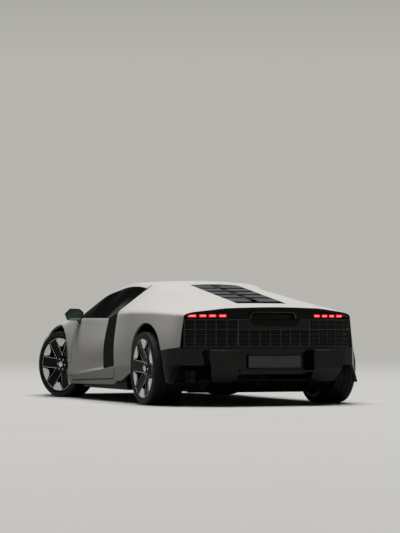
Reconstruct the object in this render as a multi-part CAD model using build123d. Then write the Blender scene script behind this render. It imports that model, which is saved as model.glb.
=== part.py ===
"""Mid-engined two-seat sports car: body panels, doors, lids, cabin, running gear and lamps.

Millimetres. +X is the car's left, the nose points to -Y, +Z is up. The origin is on the ground under
the middle of the car's length and width. The front wheels stand turned left by STEER_AT_REST.
"""

from build123d import *
import math
import os

os.makedirs("parts", exist_ok=True)

# Running gear
WHEELBASE = 2617
FRONT_AXLE_Y = -1168.5
REAR_AXLE_Y = FRONT_AXLE_Y + WHEELBASE
TYRE_R = 337.5
TYRE_FLAT_EDGE = 24
RIM_R = 283.5
BEAD_R = 272
BARREL_R = 254
FRONT_TYRE_WIDTH = 245
REAR_TYRE_WIDTH = 305
WHEEL_FACE = 140  # outer face of the tyre, outboard of the wheel's own origin
KINGPIN_X = 850
REAR_WHEEL_X = 872.6
STEER_AT_REST = 21.7
SPOKES = 6
PAD_TURN = -5.7  # how far the first pad stands from upright
HUB_R = 62
SPINDLE_R = 30
SHAFT_FIT = 0.05
DISC_R = 190
DISC_SPAN = (36, 62)
PIN_R = 12
KNUCKLE_HALF_HEIGHT = 165
PAD_CLEAR = 6

# Bodywork
TAIL_Y = 2247  # faces of the lower tail's two pods
NOSE_Y = -TAIL_Y
BOW_APEX_Y = 2197  # where the body's tail edge crosses the centre line
FLOOR_Z = 120
SKIN = 25
DOOR_DEPTH = 110
GLASS_IN = 3
GLASS_OUT = 9
GAP = 8  # round the doors and lids
LINER_R = 410
# Wheel openings: radius, and how far the round is drawn up above the axle
FRONT_ARCH = (375, 35)
REAR_ARCH = (350, 70)
BOW_R = 2080  # plan radius of the tail
BOW_Y = BOW_APEX_Y - BOW_R
CROWN_SHARE = 0.25  # how far the roof has dropped halfway out to the ridge
FAR = 3000

# The body's half sections. y is the station; the sill is at FLOOR_Z; crown_z is on the centre line.
# y, sill_x, crease_x, crease_z, side_x, side_z, shoulder_x, shoulder_z, ridge_x, ridge_z, crown_z
BODY = [
    (NOSE_Y, 560, 600, 225, 600, 390, 575, 450, 480, 482, 500),
    (-2090, 740, 785, 228, 795, 420, 765, 495, 680, 532, 552),
    (-1890, 865, 912, 235, 922, 465, 890, 568, 765, 603, 612),
    (-1580, 930, 975, 240, 985, 540, 955, 655, 812, 696, 704),
    (-1370, 937, 985, 243, 998, 590, 957, 728, 822, 760, 768),
    (-1170, 940, 990, 245, 1004, 620, 955, 752, 835, 784, 794),
    (-1000, 940, 985, 245, 993, 600, 945, 778, 850, 810, 832),
    (-800, 940, 985, 245, 987, 580, 932, 802, 862, 846, 916),
    (-520, 940, 985, 250, 982, 540, 925, 810, 770, 971, 1026),
    (-320, 940, 985, 268, 982, 520, 922, 808, 700, 1060, 1104),
    (-125, 940, 985, 286, 982, 520, 915, 806, 620, 1128, 1160),
    (140, 940, 985, 306, 982, 520, 905, 804, 600, 1150, 1177),
    (470, 940, 985, 330, 983, 520, 902, 862, 550, 1134, 1163),
    (775, 940, 985, 350, 988, 540, 942, 869, 482, 1083, 1126),
    (1040, 940, 990, 360, 998, 580, 965, 875, 478, 1052, 1080),
    (1450, 940, 995, 365, 1004, 620, 957, 873, 475, 994, 1009),
    (1720, 975, 970, 370, 975, 600, 905, 862, 474, 955, 964),
    (1870, 965, 943, 374, 932, 590, 860, 852, 474, 934, 938),
    (2025, 950, 848, 374, 850, 580, 826, 845, 474, 907, 918),
    (2200, 800, 730, 374, 745, 570, 730, 828, 474, 877, 897),
]
CABIN_ROWS = slice(6, 15)

SILL_X = 850  # outer edge of the floor's sills

# Threaded towing sockets, (x, z)
TOW_R = 8
TOW_LENGTH = 50
FRONT_TOW = (250, 350)
REAR_TOW = (480, 420)
REAR_TOW_FACE = 2210

# Side outlines (y, z)
DOOR = [(-710, 186), (490, 228), (560, 255), (595, 345), (290, 312), (260, 525), (225, 806), (-655, 812)]
DOOR_INNER = [(-688, 208), (470, 250), (545, 300), (552, 500), (452, 780), (-633, 780)]
BLADE = [(290, 314), (595, 347), (570, 527), (470, 862), (225, 806), (260, 525)]
SIDE_GLASS = [
    (-600, 818), (-520, 905), (-338, 1025), (-100, 1085), (100, 1108),
    (300, 1108), (486, 1088), (470, 862), (225, 806), (-560, 812),
]
# Plan outlines (x, y), half
SCREEN_HALF = [(0, -1018), (620, -1005), (835, -812), (742, -520), (668, -320), (585, -172), (0, -205)]
BONNET_HALF = [(0, -2085), (480, -2060), (590, -1900), (620, -1500), (620, -1028), (0, -1028)]
COVER_HALF = [(0, 700), (262, 700), (262, 1908), (0, 1908)]
COVER_OPENING_HALF = [(0, 716), (249, 716), (249, 1892), (0, 1892)]
RIDGE_SEAM = [(550, 400), (550, 470), (482, 775), (474, 1040), (474, FAR)]

# Tail features
LAMP_SEGMENTS = [(434, 501), (524, 590), (609, 673), (695, 770)]
LAMP_Z = (806, 830)
GRID_X = [50, 150, 250, 352, 453, 549, 638, 730, 815]
GRID_Z = [(536, 544), (571, 574), (609, 612), (649, 652), (690, 699), (736, 739), (778, 787)]
GRID_FOOT = 532
BAND_FOOT = 787  # top of the grid and foot of the sunk band
BAND_SUNK = 70
GRID_SPLIT_X = 352  # the tall outer blocks of the grid start here
GRID_SPLIT_Z = 699  # top of the grid's middle block
OVAL_HALF_W = 234
OVAL_Z = (738, 862)
OVAL_MARGIN = 10
OVAL_FACE_Y = 2140
PLATE_W = 520
PLATE_H = 110
PLATE_Z = 404
PLATE_BACK_Y = 2180
RECESS_DEPTH = 22
POD_INNER_X = 365
PLATE_SHELF_Z = (309, 325)
# Rear outlines (x, z) of the lower tail's left half
BUMPER_LOW = [(1040, 218), (950, 218), (905, 213), (848, 370), (640, 372), (622, 262), (365, 262), (360, 300)]
POD = [
    (POD_INNER_X, 250), (POD_INNER_X, 512), (650, 512), (672, 492), (660, 420), (636, 300), (600, 222), (430, 222),
]
# What slopes away under the pods (y, z)
POD_UNDERSIDE = [(TAIL_Y + 10, 345), (TAIL_Y, 345), (2150, 225), (1900, 205), (1900, 100), (TAIL_Y + 10, 100)]
DIFFUSER_FINS = (150, 400, 640)

# Nose openings (x, z)
INTAKES = [
    [(-340, 185), (340, 185), (300, 300), (-300, 300)],
    [(400, 185), (740, 185), (760, 340), (440, 300)],
    [(-400, 185), (-440, 300), (-760, 340), (-740, 185)],
]
HEADLAMPS = [
    [(360, 388), (775, 404), (770, 438), (360, 420)],
    [(-360, 388), (-360, 420), (-770, 438), (-775, 404)],
]

# Engine lid's louvres
LOUVRE_ROW_ENDS = (718, 930, 1142, 1354, 1566, 1890)
LOUVRE_TOP_Z = 1118
LOUVRE_DROP = 0.159
LOUVRE_HALF_W = 246
SPINE_HALF_W = 33
SPINE_SUNK = 6
SLAT = 8
SLAT_GAP = 7
SLAT_FRONT_DROP = 32
RAIL_DEPTH = 42

STEER_X = 370  # the driver's seat and wheel from the centre line


def section_points(row):
    """Returns the closed outline (x, z) of one body section."""
    _, sill_x, crease_x, crease_z, side_x, side_z, shoulder_x, shoulder_z, ridge_x, ridge_z, crown_z = row
    mid_z = crown_z - CROWN_SHARE * (crown_z - ridge_z)
    half = [
        (sill_x, FLOOR_Z), (crease_x, crease_z), (side_x, side_z),
        (shoulder_x, shoulder_z), (ridge_x, ridge_z), (ridge_x / 2, mid_z),
    ]
    return half + [(0, crown_z)] + [(-x, z) for x, z in reversed(half)]


def inset(points, depth):
    """Moves every edge of an anticlockwise outline inwards by depth."""
    moved = []
    count = len(points)
    for i in range(count):
        before, here, after = points[i - 1], points[i], points[(i + 1) % count]
        lines = []
        for start, end in ((before, here), (here, after)):
            dx, dz = end[0] - start[0], end[1] - start[1]
            size = math.hypot(dx, dz)
            lines.append((-dz / size, dx / size))
        (ax, az), (bx, bz) = lines
        scale = depth / (1 + ax * bx + az * bz)
        moved.append((here[0] + (ax + bx) * scale, here[1] + (az + bz) * scale))
    return moved


def body_loft(depth, rows=BODY):
    """Returns the body's solid, drawn in by depth from its outer surface."""
    wires = []
    for row in rows:
        y = row[0] + depth if row[0] == NOSE_Y else row[0]
        points = inset(section_points(row), depth) if depth else section_points(row)
        wires.append(Wire.make_polygon([Vector(x, y, z) for x, z in points], close=True))
    return Solid.make_loft(wires, ruled=True)


def block(x0, x1, y0, y1, z0, z1):
    return Pos((x0 + x1) / 2, (y0 + y1) / 2, (z0 + z1) / 2) * Box(x1 - x0, y1 - y0, z1 - z0)


def outline_face(points):
    return make_face(Polyline(*points, close=True))


def side_prism(points, x0=0, x1=FAR):
    """Extrudes a side outline (y, z) along X."""
    return extrude(Plane.YZ.offset(x0) * outline_face(points), x1 - x0)


def plan_prism(points, z0=0, z1=FAR):
    """Extrudes a plan outline (x, y) along Z."""
    return extrude(Plane.XY.offset(z0) * outline_face(points), z1 - z0)


def rear_prism(points, y0, y1=FAR):
    """Extrudes a rear outline (x, z) along Y."""
    return extrude(Plane.XZ.offset(-y1) * outline_face(points), y1 - y0)


def both_halves(half):
    """Closes a half outline that starts and ends on the centre line."""
    return half + [(-x, other) for x, other in reversed(half[1:-1])]


def grown(points, amount):
    """Moves an outline outwards by amount, whichever way round it runs."""
    area = sum(
        a[0] * b[1] - b[0] * a[1] for a, b in zip(points, points[1:] + points[:1])
    )
    if area > 0:
        return inset(points, -amount)
    return list(reversed(inset(list(reversed(points)), -amount)))


def bow(radius):
    """The upright cylinder that the tail's plan follows."""
    return Pos(0, BOW_Y, 1000) * Cylinder(radius, 4000)


def tail_trim(solid, radius=BOW_R):
    """Cuts the tail to its bow."""
    return solid - (block(-FAR, FAR, 1600, FAR, -100, FAR) - bow(radius))


def x_cylinder(radius, x0, x1, y, z):
    return Pos((x0 + x1) / 2, y, z) * Rot(0, 90, 0) * Cylinder(radius, x1 - x0)


def y_cylinder(radius, y0, y1, x, z):
    return Pos(x, (y0 + y1) / 2, z) * Rot(90, 0, 0) * Cylinder(radius, y1 - y0)


def z_cylinder(radius, z0, z1, x, y):
    return Pos(x, y, (z0 + z1) / 2) * Cylinder(radius, z1 - z0)


def mirrored(solid):
    return mirror(solid, about=Plane.YZ)


def arch_opening(axle_y, radius, rise):
    """Cutter for a wheel opening: an upright slot round the wheel, across the whole width."""
    opening = x_cylinder(radius, -FAR, FAR, axle_y, TYRE_R)
    opening += x_cylinder(radius, -FAR, FAR, axle_y, TYRE_R + rise)
    return opening + block(-FAR, FAR, axle_y - radius, axle_y + radius, TYRE_R, TYRE_R + rise)


OUTER = body_loft(0)
SKIN_SHELL = tail_trim(OUTER - body_loft(SKIN))
SKIN_SHELL -= arch_opening(FRONT_AXLE_Y, *FRONT_ARCH)
SKIN_SHELL -= arch_opening(REAR_AXLE_Y, *REAR_ARCH)
GLASS_SHELL = body_loft(GLASS_IN, BODY[CABIN_ROWS]) - body_loft(GLASS_OUT, BODY[CABIN_ROWS])


# Body panels

def fender():
    """Left front wing, from the bumper back to the door and in to the bonnet and windscreen."""
    side = [
        (-2060, 445), (FRONT_AXLE_Y, 445), (FRONT_AXLE_Y, 150), (-718, 150), (-663, 815), (-700, 1000),
        (-2060, 1000),
    ]
    inner_edge = grown(both_halves(BONNET_HALF), GAP)
    wing = SKIN_SHELL & side_prism(side)
    wing -= plan_prism(inner_edge)
    wing -= plan_prism(both_halves(SCREEN_HALF))
    wing -= block(-FAR, 628, -1030, -900, 0, FAR)
    pillar_base = side_prism([(-663, 815), (-830, 838), (-900, 1200), (-300, 1200), (-300, 815)])
    return wing - pillar_base


def front_bumper():
    """Nose below the bonnet, with its intakes and the lamp slots cut."""
    side = [(-FAR, 138), (-1560, 138), (-1560, 445), (-2060, 445), (-2060, FAR), (-FAR, FAR)]
    nose = SKIN_SHELL & side_prism(side, -FAR)
    nose -= plan_prism(grown(both_halves(BONNET_HALF), GAP), 440)
    for outline in INTAKES:
        nose -= rear_prism(outline, -FAR, -1900)
    for outline in HEADLAMPS:
        nose -= rear_prism(outline, -FAR, -1900)
    nose -= block(-540, 540, -1960, -1500, 0, 160)
    nose += y_cylinder(2 * TOW_R, NOSE_Y + SKIN, NOSE_Y + SKIN + 30, *FRONT_TOW)
    return nose - y_cylinder(TOW_R, -FAR, NOSE_Y + TOW_LENGTH, *FRONT_TOW)


def front_intakes():
    """Dark slatted inserts behind the nose's openings."""
    layer = body_loft(SKIN, BODY[:4]) - body_loft(SKIN + 12, BODY[:4])
    inserts = layer & block(-FAR, FAR, NOSE_Y, -1900, 175, 330)
    for i in range(4):
        z = 205 + 34 * i
        inserts -= block(-290, 290, -FAR, -2100, z, z + 18)
        inserts -= block(450, 700, -FAR, -1950, z, z + 18)
        inserts -= block(-700, -450, -FAR, -1950, z, z + 18)
    return inserts


def headlamps():
    layer = body_loft(4, BODY[:4]) - body_loft(SKIN, BODY[:4])
    return [layer & rear_prism(outline, -FAR, -1900) for outline in HEADLAMPS]


def front_splitter():
    """Flat lip under the nose."""
    half = [(0, NOSE_Y), (560, NOSE_Y), (745, -2098), (872, -1895), (905, -1620), (560, -1600), (0, -1600)]
    return plan_prism(both_halves(half), 116, 138)


def bonnet():
    return SKIN_SHELL & plan_prism(both_halves(BONNET_HALF), 470)


def windscreen():
    return GLASS_SHELL & plan_prism(both_halves(SCREEN_HALF), 700)


def roof():
    """Roof panel with its two windscreen pillars."""
    side = [(-663, 815), (-830, 838), (-900, 1200), (470, 1200), (470, 1000), (-300, 815)]
    top = SKIN_SHELL & side_prism(side, -FAR)
    top -= plan_prism(both_halves(SCREEN_HALF))
    opening = side_prism(grown(SIDE_GLASS, GAP), 400)
    door_clearance = side_prism([(-655, 600), (-655, 820), (225, 814), (470, 870), (470, 600)], 400)
    for cutter in (opening, door_clearance):
        top -= cutter
        top -= mirrored(cutter)
    return top


def rear_deck():
    """Panel between the ridges, from the roof to the tail, open for the engine cover."""
    half = [(0, 470), *RIDGE_SEAM[1:], (0, FAR)]
    deck = SKIN_SHELL & plan_prism(both_halves(half), 700)
    return deck - plan_prism(grown(both_halves(COVER_HALF), GAP))


def quarter():
    """Left rear quarter, from the door back round the wheel to the tail's corner."""
    side = [
        (603, 345), (578, 527), (478, 866), (494, 1085), (494, 1094), (300, 1200), (FAR, 1200), (FAR, 555),
        (2100, 548), (1770, 504), (1770, 300), (1045, 300), (740, 213), (600, 205), (500, 219), (568, 250),
    ]
    plan = [*RIDGE_SEAM, (FAR, FAR), (FAR, 400)]
    panel = SKIN_SHELL & side_prism(side)
    panel &= plan_prism(plan)
    panel -= block(0, FAR, 0, 470, 1000, FAR)
    return panel - side_prism(grown(SIDE_GLASS, GAP), 400)


def side_skirts():
    """Body-coloured strips below the doors."""
    side = [(-712, 124), (-712, 177), (496, 217), (590, 199), (500, 160)]
    skirt = body_loft(0, BODY[CABIN_ROWS]) & side_prism(side, SILL_X)
    return [skirt, mirrored(skirt)]


def door():
    """Left door below the glass, thick inside and recessed where the blade sits."""
    rows = BODY[CABIN_ROWS]
    outer = body_loft(0, rows)
    under_blade = body_loft(SKIN, rows)
    thick = (outer - body_loft(DOOR_DEPTH, rows)) & side_prism(DOOR_INNER, 780)
    thick -= (outer - under_blade) & side_prism(BLADE)
    panel = (outer - under_blade) & side_prism(DOOR, 780)
    return thick + panel - block(0, SILL_X + 10, -FAR, FAR, 0, 410)


def side_blade():
    """Left dark upright panel at the back of the door."""
    rows = BODY[CABIN_ROWS]
    return (body_loft(5, rows) - body_loft(SKIN, rows)) & side_prism(BLADE)


def door_glass():
    """Left frameless side glass with its rear quarter."""
    return GLASS_SHELL & side_prism(SIDE_GLASS, 400)


def mirror_housing():
    """Left mirror: six-sided housing on a stalk from the door."""
    outline = [(1100, 860), (1070, 785), (932, 787), (900, 865), (947, 903), (1048, 905)]
    housing = rear_prism(outline, -625, -535)
    arm = rear_prism([(1000, 787), (940, 787), (945, 735), (985, 735)], -570, -530)
    rows = BODY[CABIN_ROWS]
    return (housing + arm) - body_loft(0, rows)


# Lids

def engine_cover():
    """Frame of the louvred lid over the engine."""
    frame = SKIN_SHELL & plan_prism(both_halves(COVER_HALF), 700)
    return frame - plan_prism(both_halves(COVER_OPENING_HALF))


def louvre_z(y):
    """Height of the lid's inner plane at y."""
    return LOUVRE_TOP_Z - LOUVRE_DROP * (y - LOUVRE_ROW_ENDS[0])


def slat(y0, y1, x0, x1, sunk):
    """One sloping plate of the louvres, low at its front and flush at its back when it isn't sunk."""
    front, back = louvre_z(y0) - SLAT_FRONT_DROP - sunk, louvre_z(y1) - sunk
    profile = [(y0, front - SLAT), (y0, front), (y1, back), (y1, back - SLAT)]
    return side_prism(profile, x0, x1)


def louvres():
    """Rows of slats on both sides of a sunk spine, between two side rails."""
    whole = None
    for y0, y1 in zip(LOUVRE_ROW_ENDS, LOUVRE_ROW_ENDS[1:]):
        row = slat(y0, y1 - SLAT_GAP, -LOUVRE_HALF_W, -SPINE_HALF_W, 0)
        row += slat(y0, y1 - SLAT_GAP, SPINE_HALF_W, LOUVRE_HALF_W, 0)
        row += slat(y0, y1 - SLAT_GAP, -SPINE_HALF_W, SPINE_HALF_W, SPINE_SUNK)
        whole = row if whole is None else whole + row
    y0, y1 = LOUVRE_ROW_ENDS[0], LOUVRE_ROW_ENDS[-1]
    top0, top1 = louvre_z(y0), louvre_z(y1)
    profile = [(y0, top0), (y1, top1), (y1, top1 - RAIL_DEPTH), (y0, top0 - RAIL_DEPTH)]
    rail = side_prism(profile, LOUVRE_HALF_W - 4, LOUVRE_HALF_W + 3)
    return whole + rail + mirrored(rail)


# Tail

def rear_fascia():
    """Black tail panel: a raised grid, and over it a sunk band with the lamp slots and the exhaust's hole."""
    inside = body_loft(SKIN, BODY[14:])
    grid_face, band_face, band_back = bow(BOW_R - 14), bow(BOW_R - BAND_SUNK), bow(BOW_R - BAND_SUNK - 18)
    grid = (grid_face - bow(BOW_R - 34)) & block(-FAR, FAR, 1500, FAR, GRID_FOOT, BAND_FOOT)
    shelf = (grid_face - band_back) & block(-FAR, FAR, 1500, FAR, BAND_FOOT - 12, BAND_FOOT)
    band = (band_face - band_back) & block(-FAR, FAR, 1500, FAR, BAND_FOOT - 12, FAR)
    ribs = bow(BOW_R - 4) - bow(BOW_R - 20)
    bars = None
    for x in GRID_X:
        for side in (-1, 1) if x else (1,):
            top = BAND_FOOT if x >= GRID_SPLIT_X else GRID_SPLIT_Z
            bar = block(side * x - 3, side * x + 3, 1500, FAR, GRID_FOOT, top)
            bars = bar if bars is None else bars + bar
    for z0, z1 in GRID_Z:
        bars += block(-FAR, FAR, 1500, FAR, z0, z1)
    fascia = ((grid + (ribs & bars) - oval_prism(-OVAL_MARGIN, 1900, FAR)) + shelf + band) & inside
    fascia -= oval_prism(0, 1900, FAR)
    for outline in lamp_outlines():
        fascia -= rear_prism(outline, 1500)
    return fascia


def lamp_outlines():
    outlines = []
    for x0, x1 in LAMP_SEGMENTS:
        for side in (-1, 1):
            low, high = sorted((side * x0, side * x1))
            outlines.append([(low, LAMP_Z[0]), (high, LAMP_Z[0]), (high, LAMP_Z[1]), (low, LAMP_Z[1])])
    return outlines


def tail_lamps():
    """Four red segments each side, in the fascia's band."""
    band = bow(BOW_R - BAND_SUNK + 5) - bow(BOW_R - BAND_SUNK - 16)
    return [band & rear_prism(outline, 1500) for outline in lamp_outlines()]


def oval_prism(wall, y0, y1):
    """Rounded bar across the car, drawn in by wall from the exhaust's outline."""
    z0, z1 = OVAL_Z
    width, height = 2 * (OVAL_HALF_W - wall), z1 - z0 - 2 * wall
    face = Plane.XZ.offset(-y1) * (Pos(0, (z0 + z1) / 2) * RectangleRounded(width, height, height * 0.45))
    return extrude(face, y1 - y0)


def exhaust_outlet():
    """Wide outlet in the middle of the tail: a double rim with a blind end."""
    rim = oval_prism(0, OVAL_FACE_Y - 150, OVAL_FACE_Y) - oval_prism(14, OVAL_FACE_Y - 120, FAR)
    inner = oval_prism(20, OVAL_FACE_Y - 130, OVAL_FACE_Y - 9) - oval_prism(28, OVAL_FACE_Y - 105, FAR)
    return rim + inner


def rear_bumper():
    """Black lower tail, with a corner wedge behind each wheel, two pods and the plate recess."""
    rows = BODY[14:]
    outline = both_halves([(0, 530), (850, 530), (1010, 556), *BUMPER_LOW, (0, 300)])
    shell = tail_trim(body_loft(0, rows)) - tail_trim(body_loft(40, rows), BOW_R - 45)
    bumper = shell & rear_prism(outline, 1780)
    bumper &= side_prism([(1845, 0), (1845, 512), (2100, 546), (FAR, 553), (FAR, 0)], -FAR)
    corners = SKIN_SHELL & rear_prism(outline, 1780)
    bumper += corners & side_prism([(1770, 502), (1850, 512.7), (1850, 190), (1770, 190)], -FAR)
    bumper -= side_prism([(1700, 0), (1700, 470), (1770, 470), (1900, 218), (1900, 0)], -FAR)
    recess = [(-POD_INNER_X, 312), (POD_INNER_X, 312), (POD_INNER_X, 490), (-POD_INNER_X, 490)]
    bumper -= (bow(BOW_R + 10) - bow(BOW_R - RECESS_DEPTH)) & rear_prism(recess, 1900)
    bumper += block(-PLATE_W / 2 + 20, PLATE_W / 2 - 20, 2140, PLATE_BACK_Y, PLATE_Z - 40, PLATE_Z + 40)
    underside = side_prism(POD_UNDERSIDE, -FAR)
    for side_sign in (-1, 1):
        pod = rear_prism([(side_sign * x, z) for x, z in POD], 1900, TAIL_Y) - bow(BOW_R - 10)
        bumper += pod - underside
    bumper += block(-POD_INNER_X, POD_INNER_X, 2140, TAIL_Y - 3, *PLATE_SHELF_Z)
    bumper -= y_cylinder(2 * TOW_R, REAR_TOW_FACE, FAR, *REAR_TOW)
    return bumper - y_cylinder(TOW_R, REAR_TOW_FACE - TOW_LENGTH, FAR, *REAR_TOW)


def number_plate():
    z0, z1 = PLATE_Z - PLATE_H / 2, PLATE_Z + PLATE_H / 2
    return block(-PLATE_W / 2, PLATE_W / 2, PLATE_BACK_Y, PLATE_BACK_Y + 6, z0, z1)


def diffuser():
    """Rising floor under the tail with upright fins."""
    ramp = side_prism([(1760, 118), (2080, 226), (2080, 244), (1760, 136)], -700, 700)
    fin = [(1790, 122), (2060, 150), (2095, 235), (1790, 136)]
    for x in DIFFUSER_FINS:
        for side in (-1, 1):
            ramp += side_prism(fin, side * x - 6, side * x + 6)
    return ramp


# Cabin and structure

def floor_tub():
    """Flat floor from nose to tail with sills, the cabin's front wall and the luggage well."""
    plan = [
        (0, -1600), (540, -1600), (540, -750), (SILL_X, -700), (SILL_X, 620), (540, 700), (540, 1750),
        (0, 1750),
    ]
    tub = plan_prism(both_halves(plan), 116, 138)
    for side in (-1, 1):
        x0, x1 = sorted((side * 745, side * SILL_X))
        tub += block(x0, x1, -690, 600, 136, 400)
    tub += block(-540, 540, -905, -880, 130, 700)
    well = block(-470, 470, -1900, -1290, 138, 470) - block(-458, 458, -1888, -1302, 150, 471)
    return tub + well


def bulkhead():
    """Wall behind the seats with its small rear window."""
    inside = body_loft(SKIN + 2, BODY[CABIN_ROWS])
    wall = inside & block(-640, 640, 560, 585, 138, FAR)
    return wall - block(-330, 330, 500, 600, 900, 1000)


def seat(x):
    profile = [(-250, 190), (-250, 330), (170, 270), (330, 800), (430, 800), (330, 300), (300, 190)]
    shell = side_prism(profile, x - 235, x + 235)
    head = side_prism([(345, 800), (370, 950), (440, 950), (430, 800)], x - 130, x + 130)
    return shell + head


def dashboard():
    profile = [(-740, 560), (-740, 772), (-640, 772), (-520, 722), (-480, 620), (-560, 540)]
    dash = side_prism(profile, -700, 700) + block(-530, 530, -960, -740, 752, 772)
    return dash + block(-110, 110, -560, 180, 139, 340) + block(-110, 110, -600, -500, 300, 560)


def steering_wheel():
    wheel_place = Pos(STEER_X, -390, 690) * Rot(68, 0, 0)
    ring = wheel_place * Torus(172, 14)
    spoke = wheel_place * Box(344, 34, 12)
    boss = wheel_place * Cylinder(42, 30)
    column = Pos(STEER_X, -390, 690) * Rot(68, 0, 0) * Pos(0, 0, 70) * Cylinder(20, 140)
    return (ring + spoke + boss + column) - dashboard()


def engine_block():
    """Plain block at the engine's place."""
    return block(-310, 310, 640, 1270, 150, 760) + block(-180, 180, 1269, 1330, 200, 520)


# Wheel pieces, drawn about the X axis with the tyre's outer face at WHEEL_FACE

def tyre(width):
    a0, a1 = WHEEL_FACE - width, WHEEL_FACE
    profile = [
        (a0 + 14, BEAD_R), (a0 + 13, RIM_R + 1), (a0, 304), (a0 + 6, 324), (a0 + TYRE_FLAT_EDGE, TYRE_R),
        (a1 - TYRE_FLAT_EDGE, TYRE_R), (a1 - 6, 324), (a1, 304), (a1 - 13, RIM_R + 1), (a1 - 14, BEAD_R),
    ]
    return revolve(Plane.XZ * outline_face(profile), Axis.X)


def rim(width):
    """Barrel, flanges, wide spokes with a pad between each two, hub and brake disc."""
    a0, a1 = WHEEL_FACE - width, WHEEL_FACE
    profile = [
        (a0 + 2, BARREL_R + 6), (a0 + 2, RIM_R), (a0 + 12, RIM_R), (a0 + 12, BEAD_R), (a1 - 12, BEAD_R),
        (a1 - 12, RIM_R), (a1 - 2, RIM_R), (a1 - 2, BARREL_R + 6), (a1 - 10, BARREL_R), (a0 + 10, BARREL_R),
    ]
    barrel = revolve(Plane.XZ * outline_face(profile), Axis.X)
    whole = barrel + x_cylinder(HUB_R, 30, a1 - 22, 0, 0) + x_cylinder(DISC_R, *DISC_SPAN, 0, 0)
    for i in range(SPOKES):
        turn = Rot(PAD_TURN + 360 / SPOKES * i, 0, 0)
        pad = side_prism([(-21, 186), (21, 186), (72, BARREL_R + 4), (-72, BARREL_R + 4)], a1 - 28, a1 - 8)
        web = side_prism([(-46, 40), (46, 40), (54, BARREL_R + 4), (-54, BARREL_R + 4)], a1 - 56, a1 - 34)
        lip = side_prism([(-40, 180), (40, 180), (50, BARREL_R + 4), (-50, BARREL_R + 4)], a1 - 36, a1 - 20)
        whole += turn * pad + turn * (Rot(180 / SPOKES, 0, 0) * (web + lip))
    return whole - x_cylinder(SPINDLE_R + SHAFT_FIT, 0, 92, 0, 0)


def upright():
    """Knuckle body with its spindle and the brake caliper."""
    body = block(-26, 26, -48, 48, -KNUCKLE_HALF_HEIGHT, KNUCKLE_HALF_HEIGHT)
    body += x_cylinder(SPINDLE_R, 0, 88, 0, 0)
    caliper = block(12, 76, 110, 208, -62, 62)
    caliper -= x_cylinder(DISC_R + 6, DISC_SPAN[0] - 6, DISC_SPAN[1] + 6, 0, 0)
    bracket = block(-20, 24, 40, 150, -40, 40)
    return body + bracket + caliper


def knuckle():
    """Front upright, bored top and bottom for the wishbone pins."""
    bore = Cylinder(PIN_R + SHAFT_FIT, 50)
    reach = KNUCKLE_HALF_HEIGHT - 22
    return upright() - Pos(0, 0, reach) * bore - Pos(0, 0, -reach) * bore


def front_place(side):
    """Where a front wheel's own frame stands: side 1 is the left, -1 the right."""
    turn = Rot(0, 0, STEER_AT_REST) if side > 0 else Rot(0, 0, STEER_AT_REST + 180)
    return Pos(side * KINGPIN_X, FRONT_AXLE_Y, TYRE_R) * turn


def rear_place(side):
    return Pos(side * REAR_WHEEL_X, REAR_AXLE_Y, TYRE_R) * Rot(0, 0, 0 if side > 0 else 180)


def wishbones(side):
    """Upper and lower arms of one front wheel with their pins."""
    arms = None
    for level in (-1, 1):
        z = TYRE_R + level * (KNUCKLE_HALF_HEIGHT + PAD_CLEAR + 10)
        arm = plan_prism(
            [
                (400, FRONT_AXLE_Y - 110), (400, FRONT_AXLE_Y - 70), (KINGPIN_X - 30, FRONT_AXLE_Y),
                (400, FRONT_AXLE_Y + 80), (400, FRONT_AXLE_Y + 130), (KINGPIN_X + 10, FRONT_AXLE_Y + 20),
                (KINGPIN_X + 10, FRONT_AXLE_Y - 20),
            ],
            z - 10, z + 10,
        )
        arm += z_cylinder(22, z - 10, z + 10, KINGPIN_X, FRONT_AXLE_Y)
        low, high = sorted((z, TYRE_R + level * (KNUCKLE_HALF_HEIGHT - 40)))
        arm += z_cylinder(PIN_R, low, high, KINGPIN_X, FRONT_AXLE_Y)
        arms = arm if arms is None else arms + arm
    return arms if side > 0 else mirrored(arms)


def front_axle():
    """Front subframe with the wishbones of both wheels."""
    frame = block(-425, 425, FRONT_AXLE_Y - 60, FRONT_AXLE_Y + 60, 150, 210)
    for side in (-1, 1):
        x0, x1 = sorted((side * 395, side * 425))
        frame += block(x0, x1, FRONT_AXLE_Y - 110, FRONT_AXLE_Y + 150, 145, 535)
        frame += wishbones(side)
    return frame


def rear_axle():
    """Final drive, half shafts, arms and the rear uprights, fixed together."""
    whole = block(-130, 130, REAR_AXLE_Y - 110, REAR_AXLE_Y + 110, 210, 470)
    whole += x_cylinder(24, -REAR_WHEEL_X, REAR_WHEEL_X, REAR_AXLE_Y, TYRE_R)
    for side in (-1, 1):
        whole += rear_place(side) * upright()
        for z in (TYRE_R - 150, TYRE_R + 150):
            x0, x1 = sorted((side * 400, side * (REAR_WHEEL_X - 10)))
            whole += block(x0, x1, REAR_AXLE_Y - 22, REAR_AXLE_Y + 22, z - 9, z + 9)
        x0, x1 = sorted((side * 395, side * 425))
        whole += block(x0, x1, REAR_AXLE_Y - 60, REAR_AXLE_Y + 60, 145, 500)
    return whole


def arch_liners():
    """Wheelhouse linings: a curved top and a flat inner wall over each wheel."""
    inside = body_loft(SKIN + 3)
    liners = []
    for axle_y, inner_x in ((FRONT_AXLE_Y, 555), (REAR_AXLE_Y, 560)):
        ring = x_cylinder(LINER_R + 8, inner_x - 6, 900, axle_y, TYRE_R)
        ring -= x_cylinder(LINER_R, inner_x, FAR, axle_y, TYRE_R)
        ring &= block(0, FAR, -FAR, 1838, 190, FAR)
        hole = x_cylinder(70, 0, FAR, axle_y, TYRE_R)
        window = block(0, inner_x + 40, axle_y - 190, axle_y + 190, 130, 560)
        liner = (ring & inside) - hole - window
        liners.append(liner)
        liners.append(mirrored(liner))
    return liners


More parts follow.
